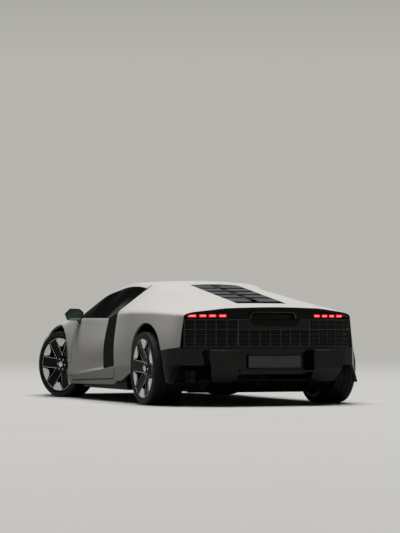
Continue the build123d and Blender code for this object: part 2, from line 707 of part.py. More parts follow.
def save(shape, node):
    solids = shape if isinstance(shape, list) else [shape]
    pieces = [solid for item in solids for solid in item.solids()]
    export_step(Compound(children=pieces) if len(pieces) > 1 else pieces[0], f"parts/{node}.step")


SINGLE_NODES = {
    "front_bumper": front_bumper,
    "front_intakes": front_intakes,
    "front_splitter": front_splitter,
    "headlamps": headlamps,
    "bonnet": bonnet,
    "windscreen": windscreen,
    "roof": roof,
    "rear_deck": rear_deck,
    "side_skirts": side_skirts,
    "engine_cover": engine_cover,
    "louvres": louvres,
    "rear_fascia": rear_fascia,
    "tail_lamps": tail_lamps,
    "exhaust_outlet": exhaust_outlet,
    "rear_bumper": rear_bumper,
    "number_plate": number_plate,
    "diffuser": diffuser,
    "floor_tub": floor_tub,
    "bulkhead": bulkhead,
    "dashboard": dashboard,
    "steering_wheel": steering_wheel,
    "engine_block": engine_block,
    "front_axle": front_axle,
    "rear_axle": rear_axle,
    "arch_liners": arch_liners,
}
PAIRED_NODES = {
    "fender": fender,
    "quarter": quarter,
    "door": door,
    "side_blade": side_blade,
    "door_glass": door_glass,
    "mirror": mirror_housing,
}

for node, make in SINGLE_NODES.items():
    save(make(), node)
for node, make in PAIRED_NODES.items():
    left = make()
    save(left, f"{node}_left")
    save(mirrored(left), f"{node}_right")
save([seat(STEER_X), seat(-STEER_X)], "seats")
for side, name in ((1, "left"), (-1, "right")):
    save(front_place(side) * knuckle(), f"knuckle_{name}")
    save(front_place(side) * rim(FRONT_TYRE_WIDTH), f"rim_front_{name}")
    save(front_place(side) * tyre(FRONT_TYRE_WIDTH), f"tyre_front_{name}")
    save(rear_place(side) * rim(REAR_TYRE_WIDTH), f"rim_rear_{name}")
    save(rear_place(side) * tyre(REAR_TYRE_WIDTH), f"tyre_rear_{name}")
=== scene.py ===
"""Looks of the mid-engined two-seat sports car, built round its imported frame.

The frame's own axes: +X is the car's left, the nose points to -Y, +Z is up. Lengths are in millimetres,
and MM turns them into metres where a mesh is made. Left-hand pieces are made first, then mirrored.
"""

import math

import bmesh
import bpy
import numpy as np
from mathutils import Matrix, Vector


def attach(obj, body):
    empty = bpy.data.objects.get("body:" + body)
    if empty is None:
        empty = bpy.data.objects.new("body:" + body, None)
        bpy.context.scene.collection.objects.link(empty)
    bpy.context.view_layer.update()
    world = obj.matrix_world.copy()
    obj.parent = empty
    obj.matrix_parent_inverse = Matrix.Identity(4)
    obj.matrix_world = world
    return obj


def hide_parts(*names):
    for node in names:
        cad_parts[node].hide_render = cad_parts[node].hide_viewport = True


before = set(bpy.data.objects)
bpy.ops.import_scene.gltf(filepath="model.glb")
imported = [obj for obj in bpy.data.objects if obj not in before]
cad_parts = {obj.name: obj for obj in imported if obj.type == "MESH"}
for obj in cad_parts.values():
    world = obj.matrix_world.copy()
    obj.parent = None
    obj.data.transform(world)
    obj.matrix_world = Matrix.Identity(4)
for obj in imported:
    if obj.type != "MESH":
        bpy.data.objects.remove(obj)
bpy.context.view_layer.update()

MM = 0.001
SIDES = ("left", "right")

# Bodywork
NOSE_Y = -2247
TAIL_Y = 2247
TAIL_GRID_Y = 2150  # sets how many rows a grid has that ends at the tail
TAIL_GUESS_Y = 2100.0  # where a line is first taken to meet the tail
TAIL_ROUNDS = 8  # of closing in on it
FLOOR_Z = 120
BOW_R = 2080  # plan radius of the tail
BOW_Y = 117
FRONT_AXLE_Y = -1168.5
REAR_AXLE_Y = 1448.5
AXLE_Z = 337.5
WHEEL_OPENINGS = [(FRONT_AXLE_Y, 376, 35), (1451.5, 351, 70)]  # y, radius, how far it is drawn up
GLASS_IN = 3
PANEL = 20  # how deep a panel's edge is
PANEL_ROUND = 1.6
SHUT_LINE = 5  # round doors and lids
SEAM = 0.8  # between fixed panels
NOSE_ROUND = 45

# The body's half sections, with the frame's own values
COLUMNS = (
    "y", "sill_x", "crease_x", "crease_z", "side_x", "side_z", "shoulder_x", "shoulder_z", "ridge_x",
    "ridge_z", "crown_z",
)
BODY = [
    (-2247, 560, 600, 225, 600, 390, 575, 450, 480, 482, 500),
    (-2090, 740, 785, 228, 795, 420, 765, 495, 680, 532, 552),
    (-1890, 865, 912, 235, 922, 465, 890, 568, 765, 603, 612),
    (-1580, 930, 975, 240, 985, 540, 955, 655, 812, 696, 704),
    (-1370, 937, 985, 243, 998, 590, 957, 728, 822, 760, 768),
    (-1170, 940, 990, 245, 1004, 620, 955, 752, 835, 784, 794),
    (-1000, 940, 985, 245, 993, 600, 945, 778, 850, 810, 832),
    (-800, 940, 985, 245, 987, 580, 932, 802, 862, 846, 916),
    (-520, 940, 985, 250, 982, 540, 925, 810, 770, 971, 1026),
    (-320, 940, 985, 268, 982, 520, 922, 808, 700, 1060, 1104),
    (-125, 940, 985, 286, 982, 520, 915, 806, 620, 1128, 1160),
    (140, 940, 985, 306, 982, 520, 905, 804, 600, 1150, 1177),
    (470, 940, 985, 330, 983, 520, 902, 862, 550, 1134, 1163),
    (775, 940, 985, 350, 988, 540, 942, 869, 482, 1083, 1126),
    (1040, 940, 990, 360, 998, 580, 965, 875, 478, 1052, 1080),
    (1450, 940, 995, 365, 1004, 620, 957, 873, 475, 994, 1009),
    (1720, 975, 970, 370, 975, 600, 905, 862, 474, 955, 964),
    (1870, 965, 943, 374, 932, 590, 860, 852, 474, 934, 938),
    (2025, 950, 848, 374, 850, 580, 826, 845, 474, 907, 918),
    (2200, 800, 730, 374, 745, 570, 730, 828, 474, 877, 897),
]
# How far each corner's rounding reaches along its legs: y, ridge in, out, shoulder in, out, side
ROUNDING = [
    (-2200, 50, 40, 30, 50, 80), (-1600, 90, 70, 70, 80, 160), (-1000, 80, 50, 50, 80, 160),
    (-700, 50, 40, 20, 40, 140), (300, 50, 40, 16, 30, 140), (800, 60, 60, 100, 34, 140),
    (1400, 60, 70, 130, 36, 140), (2200, 50, 60, 100, 30, 120),
]
CREASE_REACH = 16
LEG_SHARE = 0.48  # of a leg, that a rounding may take
# Steps of the crown, ridge, upper, shoulder, flank, side, lower flank, crease and sill
SPAN_STEPS = (12, 6, 9, 7, 5, 8, 5, 4, 3)
RIDGE, SHOULDER, SILL_END = 1.5, 3.5, 9.0  # positions along the section
ROW_STEP = 24
RAIL_STEP = 5
RAIL_BLUR = 32
RAIL_REACH = 400  # how far the rails go on past the table

# Side outlines (y, z)
DOOR = [(-710, 186), (490, 228), (560, 255), (595, 345), (570, 527), (470, 862), (225, 806), (-655, 812)]
DOOR_CARD = [(-660, 235), (440, 262), (520, 310), (520, 500), (430, 770), (-610, 770)]
BLADE = [(290, 314), (595, 347), (570, 527), (470, 862), (225, 806), (260, 525)]
GLASS_TOP = [(-600, 818), (-520, 905), (-338, 1025), (-100, 1085), (100, 1108), (300, 1108), (486, 1088)]
GLASS_FOOT = [(470, 862), (225, 806), (-560, 812)]
FENDER_SIDE = [
    (-2060, 445), (-1168, 445), (-1168, 140), (-718, 150), (-663, 815), (-700, 1000), (-2060, 1000),
]
PILLAR_BASE = [(-663, 815), (-830, 838), (-900, 1200), (-300, 1200), (-300, 815)]
QUARTER_SIDE = [
    (603, 345), (578, 527), (478, 866), (494, 1085), (494, 1094), (470, 1200), (2600, 1200), (2600, 555),
    (2100, 548), (1770, 504), (1770, 300), (1045, 300), (740, 213), (600, 205), (500, 219), (568, 250),
]
SKIRT_SIDE = [(-712, 150), (-712, 177), (496, 217), (590, 199), (500, 168)]
ROOF_SIDE = [(-663, 815), (-830, 838), (-900, 1250), (470, 1250), (470, 1000), (-300, 815)]
BUMPER_SIDE = [(-2500, 138), (-1560, 138), (-1560, 445), (-2060, 445), (-2060, 1000), (-2500, 1000)]
# Plan outlines (x, y), left half
SCREEN = [(-10, -1018), (620, -1005), (835, -812), (742, -520), (668, -320), (585, -172), (-10, -205)]
COWL = [(-10, -1030), (628, -1030), (628, -900), (-10, -900)]
BONNET = [(-10, -2085), (480, -2060), (590, -1900), (620, -1500), (620, -1028), (-10, -1028)]
COVER = [(-10, 700), (262, 700), (262, 1908), (-10, 1908)]
COVER_HOLE = [(-10, 716), (249, 716), (249, 1892), (-10, 1892)]
# Front outlines (x, z), left half
INTAKE_MIDDLE = [(-10, 185), (340, 185), (300, 300), (-10, 300)]
INTAKE_SIDE = [(400, 185), (740, 185), (760, 340), (440, 300)]
HEADLAMP = [(360, 388), (775, 404), (770, 438), (360, 420)]
# Ledge above the door's crease, deepest at the blade
LEDGE_START_Y = -600
LEDGE_END_Y = 320
LEDGE_DEPTH = 20
LEDGE_HEIGHT = 15
LEDGE_FADE = 260
LEDGE_STOP = 30
ROOF_END = 470

# Camera
CAMERA_PLACE = (7.929, 20.186, 0.693)  # m
CAMERA_AZIMUTH = math.radians(21.793)
CAMERA_PITCH = math.radians(1.668)
CAMERA_LENS = 146.55
CAMERA_SENSOR = 36


# ---- the body's surface

def smooth_rails():
    """The table's columns as dense, softly blended rails along y."""
    table = np.array(BODY, float)
    y = np.arange(table[0, 0] - RAIL_REACH, table[-1, 0] + RAIL_REACH, RAIL_STEP)
    offsets = np.arange(-3 * RAIL_BLUR, 3 * RAIL_BLUR + RAIL_STEP / 2, RAIL_STEP)
    weights = np.exp(-0.5 * (offsets / RAIL_BLUR) ** 2)
    weights /= weights.sum()
    rails = {}
    for i, name in enumerate(COLUMNS[1:], 1):
        t, v = table[:, 0], table[:, i]
        h = np.diff(t)
        d = np.diff(v) / h
        slope = np.array([d[0], *d])
        w1, w2 = 2 * h[1:] + h[:-1], h[1:] + 2 * h[:-1]
        same = d[:-1] * d[1:] > 0
        safe0, safe1 = np.where(same, d[:-1], 1), np.where(same, d[1:], 1)
        slope[1:-1] = np.where(same, (w1 + w2) / (w1 / safe0 + w2 / safe1), 0)
        k = np.clip(np.searchsorted(t, y) - 1, 0, len(t) - 2)
        s = (y - t[k]) / h[k]
        cubic = (
            (2 * s**3 - 3 * s**2 + 1) * v[k] + (s**3 - 2 * s**2 + s) * h[k] * slope[k]
            + (3 * s**2 - 2 * s**3) * v[k + 1] + (s**3 - s**2) * h[k] * slope[k + 1]
        )
        cubic = np.where(y < t[0], v[0] + slope[0] * (y - t[0]), cubic)
        cubic = np.where(y > t[-1], v[-1] + slope[-1] * (y - t[-1]), cubic)
        soft = np.convolve(cubic, weights, mode="same")
        edge = len(offsets)
        soft[:edge], soft[-edge:] = cubic[:edge], cubic[-edge:]
        rails[name] = soft
    return y, rails


RAIL_Y, RAILS = smooth_rails()
ROUND_TABLE = np.array(ROUNDING, float)


def pair(a, b):
    return np.stack([a, b], -1)


def toward(corner, other, reach):
    """Point on the leg from a corner to the next one, no further than about its middle."""
    leg = other - corner
    size = np.linalg.norm(leg, axis=-1)
    return corner + leg * (np.minimum(reach, LEG_SHARE * size) / size)[..., None]


def spans(y):
    """Control points of the nine quadratic curves of the left half section at the stations y."""
    at = {name: np.interp(y, RAIL_Y, RAILS[name]) for name in COLUMNS[1:]}
    reach = [np.interp(y, ROUND_TABLE[:, 0], ROUND_TABLE[:, i]) for i in range(1, 6)]
    corners = ("ridge", "shoulder", "side", "crease")
    ridge, shoulder, side, crease = [pair(at[f"{name}_x"], at[f"{name}_z"]) for name in corners]
    sill = pair(at["sill_x"], FLOOR_Z + 0 * y)
    start_x = at["ridge_x"] - reach[0]
    drop = (at["crown_z"] - at["ridge_z"]) * (start_x / at["ridge_x"]) ** 2
    start = pair(start_x, at["crown_z"] - drop)
    curves = [(pair(0 * y, at["crown_z"]), pair(start_x / 2, at["crown_z"]), start)]
    legs = (
        (ridge, None, reach[0], shoulder, reach[1]),
        (shoulder, ridge, reach[2], side, reach[3]),
        (side, shoulder, reach[4], crease, reach[4]),
        (crease, side, CREASE_REACH + 0 * y, sill, CREASE_REACH + 0 * y),
    )
    last = start
    for corner, before, reach_in, after, reach_out in legs:
        if before is not None:
            begin = toward(corner, before, reach_in)
            curves.append((last, (last + begin) / 2, begin))
            last = begin
        end = toward(corner, after, reach_out)
        curves.append((last, corner, end))
        last = end
    curves.append((last, (last + sill) / 2, sill))
    return curves


def skin(u, y):
    """(x, z) of the left outer surface at the section position u and the stations y."""
    span = min(int(u), len(SPAN_STEPS) - 1)
    t = u - span
    a, b, c = spans(y)[span]
    return (1 - t) ** 2 * a + 2 * t * (1 - t) * b + t * t * c


def positions(first, last):
    """Section positions between two of them, at the steps of each span."""
    found = [first]
    for span, steps in enumerate(SPAN_STEPS):
        found += [span + i / steps for i in range(steps + 1)]
    return sorted({round(u, 6) for u in found + [last] if first <= u <= last})


def bow_y(x, height=0):
    """The tail's bow at x, or a line at some height over it."""
    return BOW_Y + np.sqrt((BOW_R + height) ** 2 - x**2)


def tail_end(u):
    """Station where the line at u meets the tail's bow."""
    y = np.array([TAIL_GUESS_Y])
    for _ in range(TAIL_ROUNDS):
        y = bow_y(skin(u, y)[:, 0])
    return float(y[0])


def skin_grid(first, last, y0, y1=None, shape=None):
    """Grid of points (rows along y, columns round the section). Without y1 it ends at the tail's bow."""
    us = positions(first, last)
    rows = round(((y1 or TAIL_GRID_Y) - y0) / ROW_STEP) + 1
    grid = np.empty((rows, len(us), 3))
    for j, u in enumerate(us):
        y = np.linspace(y0, y1 or tail_end(u), rows)
        xz = skin(u, y)
        grid[:, j] = np.stack([xz[:, 0], y, xz[:, 1]], -1)
    return shape(grid) if shape else grid


def outward_from(ring):
    """Normals of a half section (x, z), straight up at the centre line."""
    tangent = np.gradient(ring, axis=0)
    outward = unit(pair(-tangent[:, 1], tangent[:, 0]))
    outward[0] = (0, 1)
    return outward


def nose_grid(y1):
    """The nose's half surface: a flat front with a rounded edge, then the body back to y1."""
    us = positions(0, SILL_END)
    base = skin_grid(0, SILL_END, NOSE_Y + NOSE_ROUND, y1)
    ring = base[0][:, [0, 2]]
    rows = []
    for angle in np.linspace(math.pi / 2, 0, 7)[:-1]:
        x, z = (ring - outward_from(ring) * NOSE_ROUND * (1 - math.cos(angle))).T
        x[0] = 0
        rows.append(np.stack([x, 0 * x + NOSE_Y + NOSE_ROUND * (1 - math.sin(angle)), z], -1))
    edge = rows[0]
    share = np.linspace(0, 1, len(us))[:, None]
    centre = edge[:1] * (1 - share) + np.array([[0, NOSE_Y, edge[-1, 2]]]) * share
    cap = [centre + (edge - centre) * s for s in np.linspace(0, 1, 16)[:-1]]
    return np.concatenate([np.array(cap), np.array(rows), base])


# ---- mesh helpers

PLANE_AXES = {"side": (1, 2), "plan": (0, 1), "rear": (0, 2)}
FLIP_X = Matrix.Scale(-1, 4, (1, 0, 0))
REARWARD = 0.3  # a normal with more than this along y looks to the rear
ROUND_MIDDLE = (0.7, 0.3)  # out and down to the middle of a panel's rounded edge
BEVEL_FROM = math.radians(25)
CUT_DIST = 1e-5  # m
JOIN_DIST = 1e-4  # m


def scaled(points):
    """Points in metres."""
    return [tuple(v * MM for v in point) for point in points]


def opposite(half):
    """A half outline with its mirror image after it."""
    return half + [(-x, z) for x, z in reversed(half)]


def rectangle(a0, a1, b0, b1):
    return [(a0, b0), (a1, b0), (a1, b1), (a0, b1)]


def turns(count):
    return [2 * math.pi * i / count for i in range(count)]


def neighbours(points):
    """Each corner of a closed outline between the one before it and the one after it."""
    return zip(points[-1:] + points[:-1], points, points[1:] + points[:1])


def unit(vectors):
    size = np.linalg.norm(vectors, axis=-1, keepdims=True)
    return vectors / np.where(size > 1e-12, size, 1)


def patch(grid, inset=0, forward=False):
    """bmesh of a grid of points, drawn in by inset, with each vertex's true normal kept in a layer.

    A forward patch has no face that looks to the rear."""
    normals = unit(np.cross(np.gradient(grid, axis=1), np.gradient(grid, axis=0)))
    if forward:
        normals[normals[..., 1] > REARWARD] *= -1
    points = (grid - normals * inset) * MM
    bm = bmesh.new()
    layer = bm.verts.layers.float_vector.new("normal")
    rows, columns, _ = grid.shape
    verts = []
    for point, normal in zip(points.reshape(-1, 3), normals.reshape(-1, 3)):
        verts.append(bm.verts.new(point))
        verts[-1][layer] = normal
    for i in range(rows - 1):
        for k in range(i * columns, (i + 1) * columns - 1):
            bm.faces.new((verts[k], verts[k + 1], verts[k + columns + 1], verts[k + columns]))
    return bm


def inside(outline, a, b):
    """Whether the point (a, b) is inside a closed outline."""
    found = False
    for (a0, b0), (a1, b1) in zip(outline, outline[1:] + outline[:1]):
        if (b0 > b) != (b1 > b) and a < (a1 - a0) * (b - b0) / (b1 - b0) + a0:
            found = not found
    return found


def trim(bm, outline, plane, keep=True):
    """Cuts a surface along an outline seen in a plane, and keeps what is in it or out of it."""
    ia, ib = PLANE_AXES[plane]
    outline = scaled(outline)
    for p, q in zip(outline, outline[1:] + outline[:1]):
        da, db = q[0] - p[0], q[1] - p[1]
        size = math.hypot(da, db)
        if size < 1e-6:
            continue
        parts = set()
        for face in bm.faces:
            across = [v.co[ia] for v in face.verts]
            if max(across) < min(p[0], q[0]) or min(across) > max(p[0], q[0]):
                continue
            along = [v.co[ib] for v in face.verts]
            if max(along) < min(p[1], q[1]) or min(along) > max(p[1], q[1]):
                continue
            away = [(a - p[0]) * db - (b - p[1]) * da for a, b in zip(across, along)]
            if min(away) < 0 < max(away):
                parts.update((face, *face.edges, *face.verts))
        if parts:
            point, normal = Vector(), Vector()
            point[ia], point[ib] = p
            normal[ia], normal[ib] = db / size, -da / size
            bmesh.ops.bisect_plane(bm, geom=list(parts), dist=CUT_DIST, plane_co=point, plane_no=normal)
    doomed = []
    for face in bm.faces:
        centre = face.calc_center_median()
        if inside(outline, centre[ia], centre[ib]) != keep:
            doomed.append(face)
    bmesh.ops.delete(bm, geom=doomed, context="FACES")


def cut(bm, *cuts):
    """Trims a surface by each (outline, plane, keep, growth of the outline)."""
    for outline, plane, keep, growth in cuts:
        trim(bm, offset(outline, growth) if growth else outline, plane, keep)
    return bm


def offset(points, amount):
    """Moves a closed outline outwards by amount, or inwards when it is negative."""
    area = sum(a[0] * b[1] - b[0] * a[1] for a, b in zip(points, points[1:] + points[:1]))
    amount = math.copysign(1, area) * amount
    moved = []
    for before, here, after in neighbours(points):
        normals = []
        for start, end in ((before, here), (here, after)):
            da, db = end[0] - start[0], end[1] - start[1]
            size = math.hypot(da, db)
            normals.append((db / size, -da / size))
        (na, nb), (ma, mb) = normals
        share = amount / max(1 + na * ma + nb * mb, 0.3)
        moved.append((here[0] + (na + ma) * share, here[1] + (nb + mb) * share))
    return moved


def circle(a, b, radius, count):
    return [(a + radius * math.cos(t), b + radius * math.sin(t)) for t in turns(count)]


def curved(points, steps=5):
    """A smooth open curve through the points."""
    pts = np.array([points[0], *points, points[-1]], float)
    found = []
    for p0, p1, p2, p3 in zip(pts, pts[1:], pts[2:], pts[3:]):
        for t in np.linspace(0, 1, steps, endpoint=False):
            found.append(tuple(0.5 * (
                2 * p1 + (p2 - p0) * t + (2 * p0 - 5 * p1 + 4 * p2 - p3) * t**2
                + (3 * p1 - p0 - 3 * p2 + p3) * t**3
            )))
    return found + [tuple(pts[-2])]


def rounded(points, radius, steps=4):
    """Rounds the corners of a closed outline."""
    found = []
    for before, here, after in neighbours(points):
        here, ends = np.array(here, float), []
        for other in (before, after):
            leg = other - here
            size = np.linalg.norm(leg)
            ends.append(here + leg * min(radius / size, 0.45))
        for t in np.linspace(0, 1, steps + 1):
            found.append(tuple(ends[0] * (1 - t) ** 2 + here * 2 * t * (1 - t) + ends[1] * t * t))
    return found


def whole(bm):
    """Adds the mirrored half and joins the two along the centre line."""
    layer = bm.verts.layers.float_vector["normal"]
    copy = bmesh.ops.duplicate(bm, geom=[*bm.verts, *bm.edges, *bm.faces])["geom"]
    for item in copy:
        if isinstance(item, bmesh.types.BMVert):
            item.co.x *= -1
            item[layer] = (-item[layer][0], item[layer][1], item[layer][2])
    bmesh.ops.reverse_faces(bm, faces=[f for f in copy if isinstance(f, bmesh.types.BMFace)])
    middle = [v for v in bm.verts if abs(v.co.x) < JOIN_DIST]
    for vert in middle:
        vert.co.x = 0
        vert[layer] = (0, vert[layer][1], vert[layer][2])
    bmesh.ops.remove_doubles(bm, verts=middle, dist=JOIN_DIST)
    return bm


def thicken(bm, depth=PANEL, edge=PANEL_ROUND):
    """Closed shell of a trimmed surface, with a rounded edge, as (points, faces, corner normals)."""
    depth, edge = depth * MM, edge * MM
    bmesh.ops.dissolve_degenerate(bm, edges=bm.edges, dist=2 * CUT_DIST)
    bmesh.ops.delete(bm, geom=[v for v in bm.verts if not v.link_faces], context="VERTS")
    layer = bm.verts.layers.float_vector["normal"]
    bm.verts.index_update()
    count = len(bm.verts)
    outer = np.array([v.co for v in bm.verts], float)
    normal = unit(np.array([v[layer] for v in bm.verts], float))
    front = [[v.index for v in f.verts] for f in bm.faces]
    rim_edges = []
    out = np.zeros((count, 3))
    for link in bm.edges:
        if len(link.link_loops) == 1:
            a, b = link.link_loops[0].vert.index, link.link_loops[0].link_loop_next.vert.index
            rim_edges.append((a, b))
            push = np.cross(outer[b] - outer[a], normal[a] + normal[b])
            push /= max(np.linalg.norm(push), 1e-12)
            out[a] += push
            out[b] += push
    bm.free()
    rim = sorted({v for e in rim_edges for v in e})
    place = {v: i for i, v in enumerate(rim)}
    out_rim, outer_rim, normal_rim = unit(out[rim]), outer[rim], normal[rim]
    mid_normal = unit(normal_rim + out_rim)
    inner = outer - normal * depth
    inner[rim] += out_rim * edge
    across, down = ROUND_MIDDLE
    points = np.concatenate([
        outer, inner, outer_rim + out_rim * edge * across - normal_rim * edge * down,
        outer_rim + out_rim * edge - normal_rim * edge,
    ])
    start1, start2 = 2 * count, 2 * count + len(rim)
    faces = front + [[count + v for v in reversed(f)] for f in front]
    normals = [normal[v] for f in front for v in f] + [-normal[v] for f in front for v in reversed(f)]
    for a, b in rim_edges:
        pa, pb = place[a], place[b]
        levels = (
            (a, b, normal[a], normal[b]),
            (start1 + pa, start1 + pb, mid_normal[pa], mid_normal[pb]),
            (start2 + pa, start2 + pb, out_rim[pa], out_rim[pb]),
            (count + a, count + b, out_rim[pa], out_rim[pb]),
        )
        for (a0, b0, na0, nb0), (a1, b1, na1, nb1) in zip(levels, levels[1:]):
            faces.append([b0, a0, a1, b1])
            normals += [nb0, na0, na1, nb1]
    return points, faces, normals


def mirrored_shell(shell):
    points, faces, normals = shell
    flip = np.array([-1.0, 1.0, 1.0])
    turned_normals, k = [], 0
    for face in faces:
        turned_normals += [n * flip for n in normals[k : k + len(face)][::-1]]
        k += len(face)
    return points * flip, [face[::-1] for face in faces], turned_normals


def shell_mesh(shell):
    points, faces, normals = shell
    mesh = bpy.data.meshes.new("shell")
    mesh.from_pydata([tuple(p) for p in points], [], faces)
    mesh.polygons.foreach_set("use_smooth", [True] * len(faces))
    mesh.normals_split_custom_set([tuple(n) for n in normals])
    return mesh


def bm_mesh(bm, sharp=35):
    mesh = bpy.data.meshes.new("part")
    bmesh.ops.recalc_face_normals(bm, faces=bm.faces)
    bm.to_mesh(mesh)
    bm.free()
    mesh.polygons.foreach_set("use_smooth", [True] * len(mesh.polygons))
    mesh.set_sharp_from_angle(angle=math.radians(sharp))
    return mesh


def merged(parts):
    """Joins several bmeshes into one."""
    result = bmesh.new()
    for part in parts:
        temp = bpy.data.meshes.new("temp")
        part.to_mesh(temp)
        part.free()
        result.from_mesh(temp)
        bpy.data.meshes.remove(temp)
    return result


def copied(bm, matrix):
    twin = bm.copy()
    bmesh.ops.transform(twin, matrix=matrix, verts=twin.verts)
    if matrix.determinant() < 0:
        bmesh.ops.reverse_faces(twin, faces=twin.faces)
    return twin


def placed(mesh, matrix):
    copy = mesh.copy()
    copy.transform(matrix)
    if matrix.determinant() < 0:
        copy.flip_normals()
    return copy


def link(name, data):
    obj = bpy.data.objects.new(name, data)
    bpy.context.scene.collection.objects.link(obj)
    return obj


def piece(name, form, body, materials, slot, *replaced):
    """Puts a shell, a list of bmeshes or a mesh into the scene as a piece that rides on its body."""
    if isinstance(form, tuple):
        form = shell_mesh(form)
    elif isinstance(form, list):
        form = bm_mesh(merged(form))
    form.name = name
    obj = link(name, form)
    for material in materials if isinstance(materials, tuple) else (materials,):
        form.materials.append(material)
    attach(obj, body)
    if replaced:
        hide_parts(*replaced)
    return obj


def piece_pair(name, shell, body, material, slot, node=None):
    """The left piece and its mirror image. The left one replaces a node that both sides share."""
    made = []
    for side, form in zip(SIDES, (shell, mirrored_shell(shell))):
        own = f"{node}_{side}"
        replaced = [own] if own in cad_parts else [node] if node and side == "left" else []
        rides_on = body if body == "root" else f"{body}_{side}"
        made.append(piece(f"{name}_{side}", form, rides_on, material, slot, *replaced))
    return made


def loft(rings, closed=False):
    """Solid through rings of points that all have the same count; a closed one joins its ends."""
    bm = bmesh.new()
    loops = [[bm.verts.new([v * MM for v in point]) for point in ring] for ring in rings]
    count = len(loops[0])
    if not closed:
        bm.faces.new(loops[0])
        bm.faces.new(loops[-1])
    for here, there in zip(loops, loops[1:] + loops[: int(closed)]):
        for i in range(count):
            j = (i + 1) % count
            bm.faces.new((here[i], here[j], there[j], there[i]))
    return bm


def prism(outline, plane, low, high, bevel=1.5, steps=2):
    """Solid of an outline seen in a plane, between low and high on the third axis."""
    ia, ib = PLANE_AXES[plane]
    rings = []
    for level in (low, high):
        ring = [[level] * 3 for _ in outline]
        for point, (a, b) in zip(ring, outline):
            point[ia], point[ib] = a, b
        rings.append(ring)
    bm = loft(rings)
    bmesh.ops.recalc_face_normals(bm, faces=bm.faces)
    if bevel:
        edges = [e for e in bm.edges if e.calc_face_angle(0) > BEVEL_FROM]
        bmesh.ops.bevel(bm, geom=edges, offset=bevel * MM, segments=steps, affect="EDGES", clamp_overlap=True)
    return bm


def box(x0, x1, y0, y1, z0, z1, bevel=1.5, steps=2):
    return prism(rectangle(x0, x1, y0, y1), "plan", z0, z1, bevel, steps)


def lathe(profile, steps=96):
    """Turns a closed profile of (distance along X, radius) about the X axis."""
    rings = [[(a, r * math.sin(t), r * math.cos(t)) for a, r in profile] for t in turns(steps)]
    return loft(rings, closed=True)


def disc(radius, x0, x1, bevel, steps=48, centre=(0, 0)):
    """Cylinder along X."""
    return prism(circle(*centre, radius, steps), "side", x0, x1, bevel)


def sliced(bm, step):
    """Divides a mesh by planes across X, so that it can be bent."""
    values = [v.co.x for v in bm.verts]
    step *= MM
    for value in np.arange(min(values) + step, max(values) - step / 2, step):
        parts = [*bm.verts, *bm.edges, *bm.faces]
        bmesh.ops.bisect_plane(bm, geom=parts, dist=1e-6, plane_co=(value, 0, 0), plane_no=(1, 0, 0))
    return bm


def tail_mesh(parts):
    """Bends parts drawn flat, with y as their height over the tail's surface, onto the tail's bow."""
    bm = sliced(merged(parts), FACET)
    for vert in bm.verts:
        vert.co.y = bow_y(vert.co.x / MM, vert.co.y / MM) * MM
    return bm_mesh(bm)


# ---- materials

def feed(tree, shader, inputs):
    """Sets a shader node's inputs, each to a value or to the socket that feeds it."""
    for key, value in inputs.items():
        socket = shader.inputs[key.replace("_", " ") if isinstance(key, str) else key]
        if isinstance(value, bpy.types.NodeSocket):
            tree.links.new(value, socket)
        else:
            socket.default_value = value


def add_node(tree, kind, *values, settings=(), **inputs):
    """New shader node, with its settings made before its inputs are fed."""
    shader = tree.nodes.new("ShaderNode" + kind)
    for key, value in settings:
        setattr(shader, key, value)
    feed(tree, shader, dict(enumerate(values)) | inputs)
    return shader


def blend(tree, share, a, b):
    """Colour between a and b."""
    mix = add_node(tree, "Mix", settings=[("data_type", "RGBA")], Factor=share, A=a, B=b)
    return mix.outputs["Result"]


def surface(name, color, roughness, metallic, tone, grain, smudge=0.06, **sockets):
    """Principled material whose tone, roughness and bump come from noise fixed to the piece."""
    material = bpy.data.materials.new(name)
    material.use_nodes = True
    tree = material.node_tree
    place = add_node(tree, "TexCoord").outputs["Object"]

    def noise(scale, detail):
        return add_node(tree, "TexNoise", Vector=place, Scale=scale, Detail=detail).outputs["Fac"]

    dark, light = [(*[min(c * (1 + sign * tone[1]), 1) for c in color], 1) for sign in (-1, 1)]
    haze = add_node(
        tree, "MapRange", Value=noise(tone[0] * 2.3, 4), To_Min=max(roughness * (1 - smudge), 0),
        To_Max=min(roughness * (1 + smudge), 1),
    )
    bump = add_node(tree, "Bump", Strength=grain[1], Distance=0.001, Height=noise(grain[0], 2))
    feed(tree, tree.nodes["Principled BSDF"], {
        "Base Color": blend(tree, noise(tone[0], 3), dark, light), "Roughness": haze.outputs["Result"],
        "Normal": bump.outputs["Normal"], "Metallic": metallic, **sockets,
    })
    return material


def black(name, color, roughness, level, tone, grain, **rest):
    """Dark surface with a weak reflection of what stands round it."""
    return surface(name, color, roughness, 0, tone, grain, Specular_IOR_Level=level, **rest)


def lamp(name, color, roughness, tone, glow, strength):
    return surface(
        name, color, roughness, 0, tone, (200, 0.03), Emission_Color=(*glow, 1), Emission_Strength=strength,
    )


# Colour, roughness, metallic, then noise (scale, strength) of the tone and of the grain
PAINT = surface(
    "warm_grey_satin_paint", (0.76, 0.74, 0.705), 0.34, 0.02, (2.5, 0.02), (1400, 0.03),
    Specular_IOR_Level=0.06,
)
PAD_SILVER = surface("wheel_pad_silver", (0.72, 0.72, 0.73), 0.3, 0.8, (16, 0.04), (700, 0.05))
EDGE_SILVER = surface("machined_edge", (0.7, 0.7, 0.7), 0.25, 0.9, (20, 0.08), (900, 0.04))
BRAKE_IRON = surface("brake_disc_iron", (0.12, 0.12, 0.12), 0.32, 0.9, (30, 0.15), (350, 0.1))
CAST = surface("cast_alloy", (0.25, 0.25, 0.25), 0.5, 0.8, (12, 0.15), (160, 0.4))
STEEL = surface("coated_steel", (0.03, 0.03, 0.032), 0.45, 0.5, (15, 0.2), (300, 0.2))
MIRROR_GLASS = surface("mirror_glass", (0.4, 0.56, 0.47), 0.04, 0.8, (3, 0.05), (8, 0.003))
